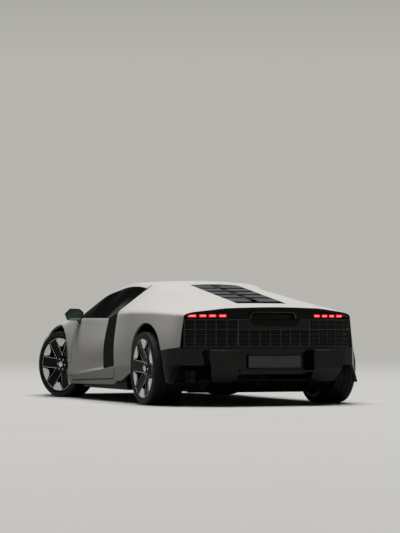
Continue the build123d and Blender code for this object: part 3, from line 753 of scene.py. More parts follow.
CLEAR = surface(
    "clear_lamp_cover", (0.75, 0.77, 0.78), 0.03, 0, (4, 0.02), (10, 0.003),
    Transmission_Weight=0.85, IOR=1.45,
)
# The same with the level of reflection in place of metallic
SATIN_BLACK = black("satin_black_trim", (0.006, 0.006, 0.0062), 0.4, 0.01, (5, 0.15), (900, 0.06))
GLOSS_BLACK = black("gloss_black_panel", (0.003, 0.0029, 0.0026), 0.14, 0.12, (4, 0.2), (60, 0.015))
BUMPER_BLACK = black("lower_tail_black", (0.003, 0.003, 0.0028), 0.18, 0.24, (4, 0.2), (80, 0.02))
TAIL_MIDDLE = black("dark_satin_panel", (0.016, 0.016, 0.0155), 0.4, 0.2, (8, 0.12), (500, 0.03))
TAIL_BAR = black("dark_satin_bar", (0.15, 0.146, 0.135), 0.4, 0.3, (8, 0.15), (700, 0.04))
TAIL_RIB = black("dark_satin_rib", (0.055, 0.053, 0.05), 0.36, 0.35, (8, 0.15), (700, 0.04))
MATTE_BLACK = black("matte_black_plastic", (0.005, 0.005, 0.005), 0.62, 0.15, (7, 0.2), (650, 0.15))
DARK_GLASS = black(
    "dark_glass", (0.004, 0.005, 0.0045), 0.03, 0.06, (3, 0.05), (5, 0.004),
    Transmission_Weight=0.5, IOR=1.15,
)
FRIT = black("glass_border", (0.002, 0.002, 0.0022), 0.1, 0.04, (3, 0.1), (30, 0.01))
LOUVRE = black("louvre_paint", (0.11, 0.11, 0.118), 0.42, 0.3, (9, 0.1), (1100, 0.05))
# Near black with no reflection: painted shade for the rear part of each louvre row
LOUVRE_PAINTED_SHADE = black("louvre_painted_shade", (0.006, 0.006, 0.0065), 0.7, 0, (9, 0.2), (1100, 0.05))
LOUVRE_DARK = black("louvre_spine_paint", (0.04, 0.04, 0.045), 0.45, 0.2, (9, 0.1), (1100, 0.05))
PLATE = black("blank_plate", (0.14, 0.14, 0.141), 0.48, 0.3, (14, 0.08), (800, 0.08))
OUTLET = black("exhaust_black", (0.02, 0.02, 0.019), 0.22, 0.6, (12, 0.2), (500, 0.05))
RUBBER = black("tyre_rubber", (0.010, 0.010, 0.0105), 0.6, 0.22, (18, 0.2), (420, 0.25), smudge=0.15)
WHEEL_BLACK = black("wheel_gloss_black", (0.004, 0.004, 0.0045), 0.22, 0.1, (10, 0.1), (900, 0.03))
LEATHER = black("grained_leather", (0.022, 0.02, 0.018), 0.5, 0.3, (12, 0.15), (260, 0.35))
LEATHER_PANEL = black("perforated_panel", (0.045, 0.041, 0.037), 0.6, 0.3, (12, 0.1), (420, 0.45))
SOFT_TRIM = black("soft_cabin_trim", (0.014, 0.014, 0.0145), 0.7, 0.2, (8, 0.15), (520, 0.3))
UNDERBODY = black("underbody_composite", (0.006, 0.006, 0.0065), 0.55, 0.15, (5, 0.2), (240, 0.2))
# Colour, roughness, noise of the tone, glow and its strength
LAMP_RED = lamp("lit_red_lens", (0.7, 0.01, 0.015), 0.25, (30, 0.1), (1.0, 0.01, 0.02), 1.1)
LAMP_CORE = lamp("lit_lamp_core", (1.0, 0.35, 0.4), 0.3, (30, 0.05), (1.0, 0.33, 0.34), 1.05)
LAMP_WHITE = lamp("white_lamp_element", (0.8, 0.82, 0.85), 0.2, (30, 0.05), (0.9, 0.95, 1.0), 0.35)


# ---- body panels

# Panel edges and insides near the tail are painted black as shade, for the dark gap under the lip
TAIL_EDGE = 90  # how far ahead of the tail panels are black inside
TAIL_EDGE_LOW = 500
TAIL_MIDDLE_Z = 600
REAR_SHELL = (22, 3)  # depth and edge radius
GLASS = [*curved(GLASS_TOP), *GLASS_FOOT]


def wheel_opening(axle_y, radius, rise):
    """Side outline of an upright slot round a wheel."""
    half_turn = np.linspace(0, math.pi, 40)
    top = [(axle_y + radius * math.cos(t), AXLE_Z + rise + radius * math.sin(t)) for t in half_turn]
    return top + [(axle_y - radius * math.cos(t), AXLE_Z - radius * math.sin(t)) for t in half_turn]


# Cuts that several panels share
FRONT_ARCH, REAR_ARCH = [(wheel_opening(*opening), "side", False, 0) for opening in WHEEL_OPENINGS]
NO_BONNET, NO_SCREEN = [(outline, "plan", False, SHUT_LINE / 2) for outline in (BONNET, SCREEN)]
NO_GLASS = (GLASS, "side", False, SHUT_LINE)


def fixed_to(outline):
    return outline, "side", True, -SEAM / 2


def skin_panel(span, *cuts, inset=0, shell=(), both=False, shape=None):
    """Shell cut from the body's surface over the grid span; shell is its depth and edge radius."""
    bm = cut(patch(skin_grid(*span, shape=shape), inset), *cuts)
    return thicken(whole(bm) if both else bm, *shell)


def paint_shade_on_tail_edge(obj):
    """Gives a panel's edge and inner face next to the tail gloss black: painted shade for the dark gap under
    the lip.
    """
    obj.data.materials.append(GLOSS_BLACK)
    for face in obj.data.polygons:
        x, y, z = face.center / MM
        outward = face.normal.x * x + face.normal.z * (z - TAIL_MIDDLE_Z)
        near = bow_y(x) - y < TAIL_EDGE and z > TAIL_EDGE_LOW
        # Rear-facing and inward faces here take the painted shade
        if near and (face.normal.y > 0.8 or outward < 0):
            face.material_index = 1


def door_ledge(grid):
    """Draws the door in just above its crease, more and more towards the blade."""
    y, z = grid[..., 1], grid[..., 2]
    crease_z = np.interp(y, RAIL_Y, RAILS["crease_z"])
    grow = np.clip((y - LEDGE_START_Y) / (LEDGE_END_Y - LEDGE_START_Y), 0, 1)
    grow *= 1 - np.clip((y - LEDGE_END_Y) / LEDGE_STOP, 0, 1)
    rise = np.clip((z - crease_z) / LEDGE_HEIGHT, 0, 1)
    fade = np.clip((z - crease_z - LEDGE_HEIGHT) / LEDGE_FADE, 0, 1)
    grid[..., 0] -= LEDGE_DEPTH * grow * rise * (1 - fade * fade * (3 - 2 * fade))
    return grid


def make_fixed_panels():
    lid = skin_panel((0, RIDGE, -2160, -980), (BONNET, "plan", True, -SHUT_LINE / 2), both=True)
    piece("bonnet_skin", lid, "bonnet", PAINT, "paint", "bonnet")
    holes = [(outline, "rear", False, 0) for outline in (INTAKE_MIDDLE, INTAKE_SIDE, HEADLAMP)]
    nose = cut(patch(nose_grid(-1500), forward=True), fixed_to(BUMPER_SIDE), NO_BONNET, *holes, FRONT_ARCH)
    piece("front_bumper_skin", thicken(whole(nose), 25, 4), "root", PAINT, "paint", "front_bumper")
    fender = skin_panel(
        (0.5, SILL_END, -2070, -620), fixed_to(FENDER_SIDE), NO_BONNET, NO_SCREEN,
        (PILLAR_BASE, "side", False, SEAM / 2), (COWL, "plan", False, 0), FRONT_ARCH,
    )
    piece_pair("fender_skin", fender, "root", PAINT, "paint", "fender")
    roof = skin_panel(
        (0, SHOULDER, -920, ROOF_END - SEAM / 2), fixed_to(ROOF_SIDE), NO_SCREEN, NO_GLASS, both=True,
    )
    piece("roof_skin", roof, "root", PAINT, "paint", "roof")
    deck = skin_panel(
        (0, RIDGE - 0.01, ROOF_END + SEAM / 2), (COVER, "plan", False, SHUT_LINE / 2), shell=REAR_SHELL,
        both=True,
    )
    paint_shade_on_tail_edge(piece("rear_deck_skin", deck, "root", PAINT, "paint", "rear_deck"))
    quarter_cuts = (fixed_to(QUARTER_SIDE), NO_GLASS, REAR_ARCH)
    quarter = skin_panel((RIDGE, SILL_END, 440), *quarter_cuts, shell=REAR_SHELL)
    for obj in piece_pair("quarter_skin", quarter, "root", PAINT, "paint", "quarter"):
        paint_shade_on_tail_edge(obj)
    skirt = skin_panel((6.5, SILL_END, -740, 620), fixed_to(SKIRT_SIDE), shell=(30,))
    piece_pair("side_skirt_skin", skirt, "root", PAINT, "paint", "side_skirts")


def make_doors():
    door = skin_panel(
        (2.6, SILL_END, -740, 620), (rounded(DOOR, 18), "side", True, -SHUT_LINE / 2),
        (BLADE, "side", False, 1), shape=door_ledge,
    )
    blade = skin_panel((2.6, SILL_END, 0, 640), (BLADE, "side", True, -1.5), inset=3, shell=(18, 3))
    card, edge = (DOOR_CARD, "side", True, 0), (DOOR_CARD, "side", False, -22)
    inner = (3.2, SILL_END, -720, 580)
    piece_pair("door_skin", door, "door", PAINT, "paint", "door")
    piece_pair("side_blade_skin", blade, "door", SATIN_BLACK, "black_trim", "side_blade")
    lining = skin_panel(inner, card, inset=84, shell=(14, 4))
    piece_pair("door_card", lining, "door", SOFT_TRIM, "cabin_trim")
    rim = skin_panel(inner, card, edge, inset=14, shell=(72, 3))
    piece_pair("door_frame", rim, "door", MATTE_BLACK, "black_trim")


def make_glass():
    pane = skin_panel((RIDGE, 4.0, -660, 530), (GLASS, "side", True, -22), inset=GLASS_IN, shell=(4, 0.5))
    piece_pair("side_window", pane, "door", DARK_GLASS, "dark_glass", "door_glass")
    border = skin_panel(
        (1.2, 4.0, -660, 530), (GLASS, "side", True, -1), (GLASS, "side", False, -23.5), inset=GLASS_IN,
        shell=(5, 1),
    )
    piece_pair("window_border", border, "door", FRIT, "black_gloss")
    screen = skin_panel(
        (0, 2.4, -1060, -120), (SCREEN, "plan", True, -1), inset=GLASS_IN, shell=(5, 0.5), both=True,
    )
    piece("windscreen_pane", screen, "root", DARK_GLASS, "dark_glass", "windscreen")


make_fixed_panels()
make_doors()
make_glass()


# ---- wheels

WHEEL_FACE = 140
TYRE_WIDTHS = {"front": 245, "rear": 305}
TYRE_R = AXLE_Z
# x, y and degrees of steer at rest
WHEEL_PLACES = {"front": (850, FRONT_AXLE_Y, 21.7), "rear": (872.6, REAR_AXLE_Y, 0)}
# Half profiles as (distance from the edge of the wheel, radius)
TYRE_WALL = [
    (14, 272), (13, 279), (8, 287), (4, 289), (3, 293), (0.6, 299), (0, 306), (0.6, 312), (1.4, 313),
    (2.2, 312.6), (3, 318), (5, 324), (9, 329.5), (15, 333.5), (24, 336.4),
]
GROOVES = {"front": [-0.42, 0, 0.42], "rear": [-0.5, -0.17, 0.17, 0.5]}  # share of the half width
GROOVE_EDGES = ((-6, 0), (-5, 1), (5, 1), (6, 0))
GROOVE_DEPTH = 6
CUT_DEPTH = 4.2
CUT_ABOVE_R = 332.5
TREAD_PITCHES = 64
STEPS_PER_PITCH = 5
TREAD_SWEEP = 7  # steps by which a cut lags at the tyre's edge
SMOOTH_MIDDLE = 0.3  # share of the tread with no cuts across it
RIM_INSIDE = [(2, 260), (2, 280.5), (5, 283.5), (12, 283.5), (12, 272), (60, 271)]
RIM_OUTSIDE = [
    (60, 271), (12, 272), (12, 283.5), (5, 283.5), (2, 280.5), (2, 276), (5, 273), (9, 268), (16, 262),
    (26, 254),
]
BARREL = [(30, 252), (10, 254)]
SPOKES = 6
SPOKE_RISE = 0.19
HUB_X = 90
PAD = [(-21, 186), (21, 186), (66, 240), (74, 263), (60, 267), (40, 270.5), (0, 273)]
PAD_TURN = math.radians(-5.7)
WEB = [(-46, 60), (46, 60), (50, 258), (-50, 258)]
SLOT = [(8, 112), (26, 150), (24, 205), (-24, 205), (-26, 150)]
RIB = [(40, 58), (50, 58), (58, 262), (49, 262)]
RIB_EDGE = [(45, 62), (49, 62), (56.6, 262), (52.6, 262)]
HUB = [(40, 30), (40, 78), (86, 92), (94, 90), (100, 74), (101, 44), (108, 38), (110, 30)]
HUB_CAP = [(60, 2), (60, 30), (112, 30), (117, 24), (118, 2)]
BRAKE_DISC = ([(37, 90), (37, 188), (46, 190), (46, 90)], [(52, 90), (52, 190), (61, 188), (61, 90)])
WHEEL_PIECES = (
    ("tyre_tread", RUBBER, "tyre", "tyre"), ("rim_body", WHEEL_BLACK, "wheel_black", "rim"),
    ("rim_pads", PAD_SILVER, "wheel_black", None), ("rim_edges", EDGE_SILVER, "wheel_black", None),
    ("brake_disc", BRAKE_IRON, "wheel_black", None),
)


def tapered(outline, x0, x1, lift, bevel, turn):
    """Radial plate whose faces slope by lift per unit of radius, turned about the axle."""
    bm = prism(outline, "side", x0, x1, bevel)
    for vert in bm.verts:
        vert.co.x += lift * (vert.co.z - outline[0][1] * MM)
    bmesh.ops.transform(bm, matrix=Matrix.Rotation(turn, 4, "X"), verts=bm.verts)
    return bm


def tyre_mesh(end):
    half = TYRE_WIDTHS[end] / 2
    middle = WHEEL_FACE - half
    crown = []
    for place in GROOVES[end]:
        for shift, drop in GROOVE_EDGES:
            crown.append((middle + place * half + shift, TYRE_R - 0.4 - drop * GROOVE_DEPTH))
    profile = [(middle - half + d, r) for d, r in TYRE_WALL] + crown
    profile += [(WHEEL_FACE - d, r) for d, r in reversed(TYRE_WALL)]
    profile += [(WHEEL_FACE - 30, 274), (middle - half + 30, 274)]
    rings = []
    for i, t in enumerate(turns(TREAD_PITCHES * STEPS_PER_PITCH)):
        ring = []
        for a, r in profile:
            share = abs(a - middle) / half
            is_cut = (i + round(share * TREAD_SWEEP)) % STEPS_PER_PITCH == 0 and r > CUT_ABOVE_R
            r -= CUT_DEPTH if is_cut and share > SMOOTH_MIDDLE else 0
            ring.append((a, r * math.sin(t), r * math.cos(t)))
        rings.append(ring)
    return bm_mesh(loft(rings, closed=True), 30)


def rim_meshes(end):
    """The rim's black body, silver pads and machined edges, and the brake disc, in the wheel's frame."""
    inner, face = WHEEL_FACE - TYRE_WIDTHS[end], WHEEL_FACE
    profile = [(inner + d, r) for d, r in RIM_INSIDE] + [(face - d, r) for d, r in RIM_OUTSIDE]
    black_parts = [lathe(profile + [(inner + d, r) for d, r in BARREL], 180)]
    silver, edges = [], []
    pad = PAD + [(-y, z) for y, z in reversed(PAD[2:6])]
    sweep = np.linspace(-0.2, 0.2, 14)
    arc = [(r * math.sin(t), r * math.cos(t)) for r, ts in ((264.5, sweep), (268.5, sweep[::-1])) for t in ts]
    for turn in turns(SPOKES):
        turn += PAD_TURN
        between = turn + math.pi / SPOKES
        silver.append(tapered(pad, face - 24, face - 11, 0.03, 1.5, turn))
        black_parts.append(tapered(WEB, HUB_X - 12, HUB_X - 5, SPOKE_RISE, 1.5, between))
        for side in (-1, 1):
            rib, strip = [[(side * y, z) for y, z in outline] for outline in (RIB, RIB_EDGE)]
            black_parts.append(tapered(rib, HUB_X - 14, HUB_X + 1, SPOKE_RISE, 1.2, between))
            edges.append(tapered(strip, HUB_X, HUB_X + 1.8, SPOKE_RISE, 0.4, between))
        black_parts.append(tapered(SLOT, HUB_X - 8, HUB_X - 2, SPOKE_RISE, 2, between))
        edges.append(tapered(arc, face - 14, face - 9.5, 0, 0.6, between))
        edges.append(tapered(circle(0, 56, 9, 6), HUB_X + 10, HUB_X + 17, 0, 1.5, between))
    black_parts.append(lathe(HUB))
    silver.append(lathe(HUB_CAP, 48))
    iron = [lathe(profile, 120) for profile in BRAKE_DISC]
    return [bm_mesh(merged(parts)) for parts in (black_parts, silver, edges, iron)]


def wheel_matrix(end, side):
    sign, turn = (1, 0) if side == "left" else (-1, 180)
    x, y, steer = WHEEL_PLACES[end]
    place = Vector((sign * x, y, TYRE_R)) * MM
    return Matrix.Translation(place) @ Matrix.Rotation(math.radians(turn + steer), 4, "Z")


def make_wheels():
    for end in TYRE_WIDTHS:
        meshes = [tyre_mesh(end), *rim_meshes(end)]
        for side in SIDES:
            wheel = f"{end}_{side}"
            for mesh, (part, finish, slot, node) in zip(meshes, WHEEL_PIECES):
                mesh = placed(mesh, wheel_matrix(end, side))
                replaced = [f"{node}_{wheel}"] if node else []
                piece(f"{part}_{wheel}", mesh, f"wheel_{wheel}", finish, slot, *replaced)


make_wheels()


# ---- mirrors

MIRROR_OUTLINE = [(1100, 860), (1070, 785), (932, 787), (900, 865), (947, 903), (1048, 905)]
# Station and size of each ring of the housing, the last three forming its lip and the recess for the glass
MIRROR_RINGS = [
    (-624, 0.55), (-618, 0.74), (-600, 0.9), (-570, 0.985), (-540, 1.0), (-536, 0.985), (-536, 0.94),
    (-544, 0.92),
]
MIRROR_GLASS_RINGS = [(-543.5, 0.9), (-540, 0.9)]
MIRROR_CAP_Y, MIRROR_CAP_X = -545, 1055  # painted ahead of this y and outside this x
STALK = [(900, 742, 14), (925, 752, 13), (950, 765, 12), (965, 792, 13)]  # x, z, radius
STALK_Y = -550


def make_mirrors():
    outline = np.array(rounded(MIRROR_OUTLINE, 16))
    centre = outline.mean(axis=0)

    def rings(table):
        return [[(x, y, z) for x, z in centre + (outline - centre) * size] for y, size in table]

    stalk = [
        [(x, STALK_Y + 1.6 * r * math.cos(t), z + r * math.sin(t)) for t in turns(16)] for x, z, r in STALK
    ]
    housing = bm_mesh(merged([loft(rings(MIRROR_RINGS)), loft(stalk)]), 30)
    glass = bm_mesh(loft(rings(MIRROR_GLASS_RINGS)), 30)
    for side, matrix in zip(SIDES, (Matrix.Identity(4), FLIP_X)):
        shell = placed(housing, matrix)
        for face in shell.polygons:
            x, y, _ = face.center / MM
            face.material_index = int(y < MIRROR_CAP_Y and abs(x) > MIRROR_CAP_X)
        body = f"door_{side}"
        piece(f"mirror_housing_{side}", shell, body, (GLOSS_BLACK, PAINT), "black_gloss", f"mirror_{side}")
        piece(f"mirror_face_{side}", placed(glass, matrix), body, MIRROR_GLASS, "dark_glass")


make_mirrors()


# ---- engine cover

LOUVRE_ROW_ENDS = [718, 930, 1142, 1354, 1566, 1890]
LOUVRE_TOP = (718, 1120)
LOUVRE_SLOPE = 0.159
LOUVRE_HALF = 242
LOUVRE_GAP = 4
LOUVRE_DIPS = [4, 4, 4, 4, 3]  # depth of each row's valley under the top plane
LOUVRE_VALLEY = 0.55  # where the valley is along the row
LOUVRE_THICK = 7
SPINE_HALF = 33
SPINE_SUNK = 6
SPINE_SHARE = [0.66, 0.66, 0.66, 0.66, 0.1]  # how much of each row the spine covers
TRAY_DEPTH = 60


def louvre_z(y):
    """Height of the louvres' top plane at y."""
    return LOUVRE_TOP[1] - LOUVRE_SLOPE * (y - LOUVRE_TOP[0])


def plate_under(top, thick, x0, x1, bevel):
    return prism(top + [(y, z - thick) for y, z in reversed(top)], "side", x0, x1, bevel)


def louvre_row(x0, x1, y0, y1, dip, share=1, sunk=0):
    """Folded plate of one row: down into its valley, then out to the top plane again."""
    fold = y0 + LOUVRE_VALLEY * (y1 - y0)
    ends = [(y0, louvre_z(y0) - sunk), (fold, louvre_z(fold) - dip - sunk), (y1, louvre_z(y1) - sunk)]
    stop = y0 + share * (y1 - y0)
    top = [p for p in ends if p[0] < stop]
    top.append((stop, float(np.interp(stop, *zip(*ends)))))
    return plate_under(top, LOUVRE_THICK, x0, x1, 1.2)


def sloping_bar(x0, x1, y0, y1, over, depth=TRAY_DEPTH):
    """Bar along the louvres' top plane, standing over it by a little."""
    return plate_under([(y, louvre_z(y) + over) for y in (y0, y1)], depth, x0, x1, 1)


def make_cover():
    skin_cuts = ((COVER, "plan", True, -SHUT_LINE / 2), (COVER_HOLE, "plan", False, 0))
    lid = skin_panel((0, RIDGE - 0.3, 660, 1950), *skin_cuts, shell=(26, 3), both=True)
    piece("engine_cover_skin", lid, "engine_lid", PAINT, "paint", "engine_cover")
    slats, spine = [], []
    ends = LOUVRE_ROW_ENDS
    front, rear = ends[0] + LOUVRE_GAP, ends[-1] - LOUVRE_GAP
    for y0, y1, dip, share in zip(ends, ends[1:], LOUVRE_DIPS, SPINE_SHARE):
        y0, y1 = max(y0, front), y1 - LOUVRE_GAP
        for x0, x1 in ((-LOUVRE_HALF, -SPINE_HALF - 1), (SPINE_HALF + 1, LOUVRE_HALF)):
            slats.append(louvre_row(x0, x1, y0, y1, dip))
        spine.append(louvre_row(-SPINE_HALF, SPINE_HALF, y0, y1, dip, share, SPINE_SUNK))
    tray = [sloping_bar(-LOUVRE_HALF, LOUVRE_HALF, front, rear, 5 - TRAY_DEPTH, 5)]
    for x in (-LOUVRE_HALF - 3.5, LOUVRE_HALF + 3.5):
        tray.append(sloping_bar(x - 3, x + 3, front - 3, rear + 3, -1))
    for y in (front - 3.5, rear + 0.5):
        tray.append(sloping_bar(-LOUVRE_HALF, LOUVRE_HALF, y, y + 3, -1))
    slats = bm_mesh(merged(slats), 12)
    # Faces past each row's valley take the painted shade
    for face in slats.polygons:
        y = face.center.y / MM
        row = max(i for i, end in enumerate(ends[:-1]) if end <= y)
        face.material_index = int((y - ends[row]) / (ends[row + 1] - ends[row]) > LOUVRE_VALLEY)
    piece("louvre_slats", slats, "engine_lid", (LOUVRE, LOUVRE_PAINTED_SHADE), "louvre_metal", "louvres")
    piece("louvre_spine", bm_mesh(merged(spine), 12), "engine_lid", LOUVRE_DARK, "louvre_metal")
    piece("louvre_tray", tray, "engine_lid", MATTE_BLACK, "black_plastic")


make_cover()


# ---- tail: drawn flat, then bent onto its bow

GRID_OUTER_X = [352, 453, 549, 638, 730, 819]
GRID_MIDDLE_X = [-250, -150, -50, 50, 150, 250]
GRID_REACH = 824
GRID_ROWS = [(544, 572), (572, 610), (610, 650), (650, 690), (699, 737), (737, 778)]
GRID_BOLD_Z = [(536, 544), (690, 699), (778, 787)]
GRID_FINE_Z = [572, 610, 650, 737]
BAR_FOOT, BAR_TOP, MIDDLE_BAR_TOP = 538, 785, 697
BAR_HALF, BOLD_BAR_HALF, RIB_HALF = 2.6, 4.5, 1.5
GRID_BACK = -18  # heights over the tail's bow
TILE_FACE = -9
RIB_FACE = -3
BAND_FACE = -70
BAND_FOOT = 787
MIDDLE_PANEL = (-346, 346, GRID_BACK, TILE_FACE + 2, 701, 777)  # x, y and z edges
OUTLET_GAP = 246  # half the room for the exhaust outlet
LINING_REACH = 500  # the lining over the lamp strip ends here
PANEL_STATION, PANEL_INSET, PANEL_FOOT = 2130, 24, 600  # of the body's section behind the grid
FACET = 40  # how finely what is bent gets divided


def section_inset(y, amount):
    """Half outline (x, z) of the body at y, drawn in by amount, from the crown to the sill."""
    ring = np.array([skin(u, np.array([y]))[0] for u in positions(0, SILL_END)])
    points = ring - outward_from(ring) * amount
    points[0, 0] = 0
    return [tuple(p) for p in points]


def make_fascia_panel():
    half = [p for p in section_inset(PANEL_STATION, PANEL_INSET) if p[1] > PANEL_FOOT]
    edge = half[-1][0]
    back = opposite([(846, 532), (edge, PANEL_FOOT), (edge, BAND_FOOT)])
    upper = [p for p in half if p[1] > BAND_FOOT]
    foot_x = upper[-1][0]
    band = upper + [(foot_x, BAND_FOOT - 8)]
    band += [(-x, z) for x, z in reversed(band[1:])]
    over = [p for p in upper if p[0] < LINING_REACH]
    lining = prism(over + [(x, z - 7) for x, z in reversed(over)], "rear", BAND_FACE - 10, -4, 0)
    piece("fascia_panel", tail_mesh([
        prism(back, "rear", GRID_BACK - 16, GRID_BACK, 0.5),
        prism(band, "rear", BAND_FACE - 14, BAND_FACE, 0.5), lining, copied(lining, FLIP_X),
        box(-foot_x, foot_x, BAND_FACE - 14, GRID_BACK, BAND_FOOT - 9, BAND_FOOT, 1),
    ]), "root", GLOSS_BLACK, "black_gloss", "rear_fascia")


def make_fascia_grid():
    tiles = []
    outer = list(zip(GRID_OUTER_X, GRID_OUTER_X[1:]))
    outer += [(-b, -a) for a, b in outer]
    middle_edges = [-GRID_OUTER_X[0], *GRID_MIDDLE_X, GRID_OUTER_X[0]]
    for low, high in GRID_ROWS:
        middle = list(zip(middle_edges, middle_edges[1:])) if high <= 690 else []
        for x0, x1 in outer + middle:
            tiles.append(box(x0 + 5, x1 - 5, GRID_BACK - 1, TILE_FACE, low + 3, high - 3, 2.5))
    piece("fascia_tiles", tail_mesh(tiles), "root", GLOSS_BLACK, "black_gloss")
    bars = []
    lines = [(sign * x, BAR_TOP) for sign in (1, -1) for x in GRID_OUTER_X]
    for x, top in lines + [(x, MIDDLE_BAR_TOP) for x in GRID_MIDDLE_X]:
        wide = BOLD_BAR_HALF if abs(x) == GRID_OUTER_X[0] else BAR_HALF
        bars.append(box(x - wide, x + wide, GRID_BACK, RIB_FACE, BAR_FOOT, top, 1.2))
    ribs = []
    rows = [(low, high, OUTLET_GAP if low > 770 else 0, RIB_FACE + 1, 2) for low, high in GRID_BOLD_Z]
    for z in GRID_FINE_Z:
        rows.append((z - RIB_HALF, z + RIB_HALF, GRID_OUTER_X[0] if z > 700 else 0, RIB_FACE - 2, 0.6))
    for low, high, gap, face, bevel in rows:
        for x0, x1 in [(-GRID_REACH, -gap), (gap, GRID_REACH)] if gap else [(-GRID_REACH, GRID_REACH)]:
            ribs.append(box(x0, x1, GRID_BACK, face, low, high, bevel))
    piece("fascia_ribs", tail_mesh(ribs), "root", TAIL_RIB, "black_trim")
    piece("fascia_bars", tail_mesh(bars), "root", TAIL_BAR, "black_trim")
    panel = outlet_notch(tail_mesh([box(*MIDDLE_PANEL, 2)]))
    piece("fascia_middle", panel, "root", TAIL_MIDDLE, "black_trim")


def outlet_notch(mesh):
    """Cuts the room round the exhaust outlet out of a mesh."""
    bm = prism(oval_loop(-10), "rear", 2000, 2300, 0)
    cutter, target = link("cutter", bpy.data.meshes.new("cutter")), link("target", mesh)
    bm.to_mesh(cutter.data)
    bm.free()
    modifier = target.modifiers.new("notch", "BOOLEAN")
    modifier.object = cutter
    modifier.operation = "DIFFERENCE"
    modifier.solver = "EXACT"
    result = bpy.data.meshes.new_from_object(target.evaluated_get(bpy.context.evaluated_depsgraph_get()))
    for obj in (cutter, target):
        bpy.data.objects.remove(obj)
    result.set_sharp_from_angle(angle=math.radians(35))
    return result


LAMP_SPANS = [(434, 501), (524, 590), (609, 673), (695, 770)]
LAMP_LOW, LAMP_HIGH = 805, 831


def make_lamps():
    lenses, cores, frames = [], [], []
    for x0, x1 in LAMP_SPANS:
        for low, high in ((x0, x1), (-x1, -x0)):
            lens = rounded(rectangle(low, high, LAMP_LOW, LAMP_HIGH), 6, 3)
            core = rounded(rectangle(low + 9, high - 9, LAMP_LOW + 8, LAMP_HIGH - 7), 4, 3)
            lenses.append(prism(lens, "rear", BAND_FACE - 4, BAND_FACE + 6, 1.5))
            cores.append(prism(core, "rear", BAND_FACE + 5, BAND_FACE + 7.5, 0.8))
            frames.append(prism(offset(lens, 4), "rear", BAND_FACE - 3, BAND_FACE + 4, 1))
    piece("lamp_lenses", tail_mesh(lenses), "root", LAMP_RED, "lamp_red", "tail_lamps")
    piece("lamp_cores", tail_mesh(cores), "root", LAMP_CORE, "lamp_red")
    piece("lamp_frames", tail_mesh(frames), "root", GLOSS_BLACK, "black_gloss")


OVAL_HALF = 234
OVAL_Z = (738, 862)
# Profiles of the outlet's two rims: how far in from the outer edge, and y
OUTLET_RIMS = (
    [(0, 2050), (0, 2130), (2, 2137), (7, 2140), (13, 2137), (17, 2127), (19, 2112), (21, 2050)],
    [(23, 2010), (23, 2124), (25, 2132), (29, 2134), (32, 2128), (34, 2113), (36, 2010)],
)
OUTLET_BACK = (2000, 2020)  # y
MESH_Y = (2022, 2028, 2034)
MESH_HALF = 190
MESH_WIRE = 3
MESH_PITCH = (12.4, 12)


def oval_loop(wall):
    """Rounded bar outline (x, z) drawn in by wall from the outlet's outer edge."""
    z0, z1 = OVAL_Z[0] + wall, OVAL_Z[1] - wall
    radius = (z1 - z0) * 0.45
    x, low, high = OVAL_HALF - wall - radius, z0 + radius, z1 - radius
    points = []
    for quarter, (cx, cz) in enumerate(((x, high), (-x, high), (-x, low), (x, low))):
        for i in range(9):
            t = math.radians(90 * quarter + i * 90 / 8)
            points.append((cx + radius * math.cos(t), cz + radius * math.sin(t)))
    return points


def make_outlet():
    rims = []
    for rim in OUTLET_RIMS:
        rims.append(loft([[(x, y, z) for x, z in oval_loop(wall)] for wall, y in rim], closed=True))
    piece("outlet_rims", bm_mesh(merged(rims), 40), "root", OUTLET, "dark_metal", "exhaust_outlet")
    z0, z1 = OVAL_Z[0] + 30, OVAL_Z[1] - 30
    parts = [prism(oval_loop(20), "rear", *OUTLET_BACK, 1)]
    for z in np.arange(z0, z1, MESH_PITCH[1]):
        parts.append(box(-MESH_HALF, MESH_HALF, *MESH_Y[:2], z, z + MESH_WIRE, 0.5))
    for x in np.arange(4 - MESH_HALF, MESH_HALF, MESH_PITCH[0]):
        parts.append(box(x, x + MESH_WIRE, *MESH_Y[1:], z0, z1, 0.5))
    piece("outlet_mesh", parts, "root", MATTE_BLACK, "dark_metal")


# ---- lower tail

POD = [(365, 250), (365, 512), (650, 512), (672, 492), (660, 420), (636, 300), (600, 222), (430, 222)]
POD_UNDER = ((2247, 345), (2150, 225))  # the slope under the pods, (y, z)
BUMPER_EDGE = [(848, 370), (640, 372), (622, 262), (360, 262)]
BUMPER_SIDE_REAR = [(1765, 501), (2100, 546), (2600, 553), (2600, 100), (1905, 100), (1900, 218), (1765, 480)]
BUMPER_CORNER = [(600, 700), (1200, 700), (1200, 218), (950, 218), (905, 213), (848, 370), (600, 370)]
BUMPER_TOP = 528
RECESS_HALF, RECESS_TOP = 361, 490
FACE_DEPTH = 40
LIP_FROM_X, LIP_FOOT = 676, 463  # of the raised lips outside the pods
POD_FRONT_Y = 2020
POD_BRIDGE = (-366, 366, 2150, TAIL_Y - 3, 309, 325)  # x, y and z edges


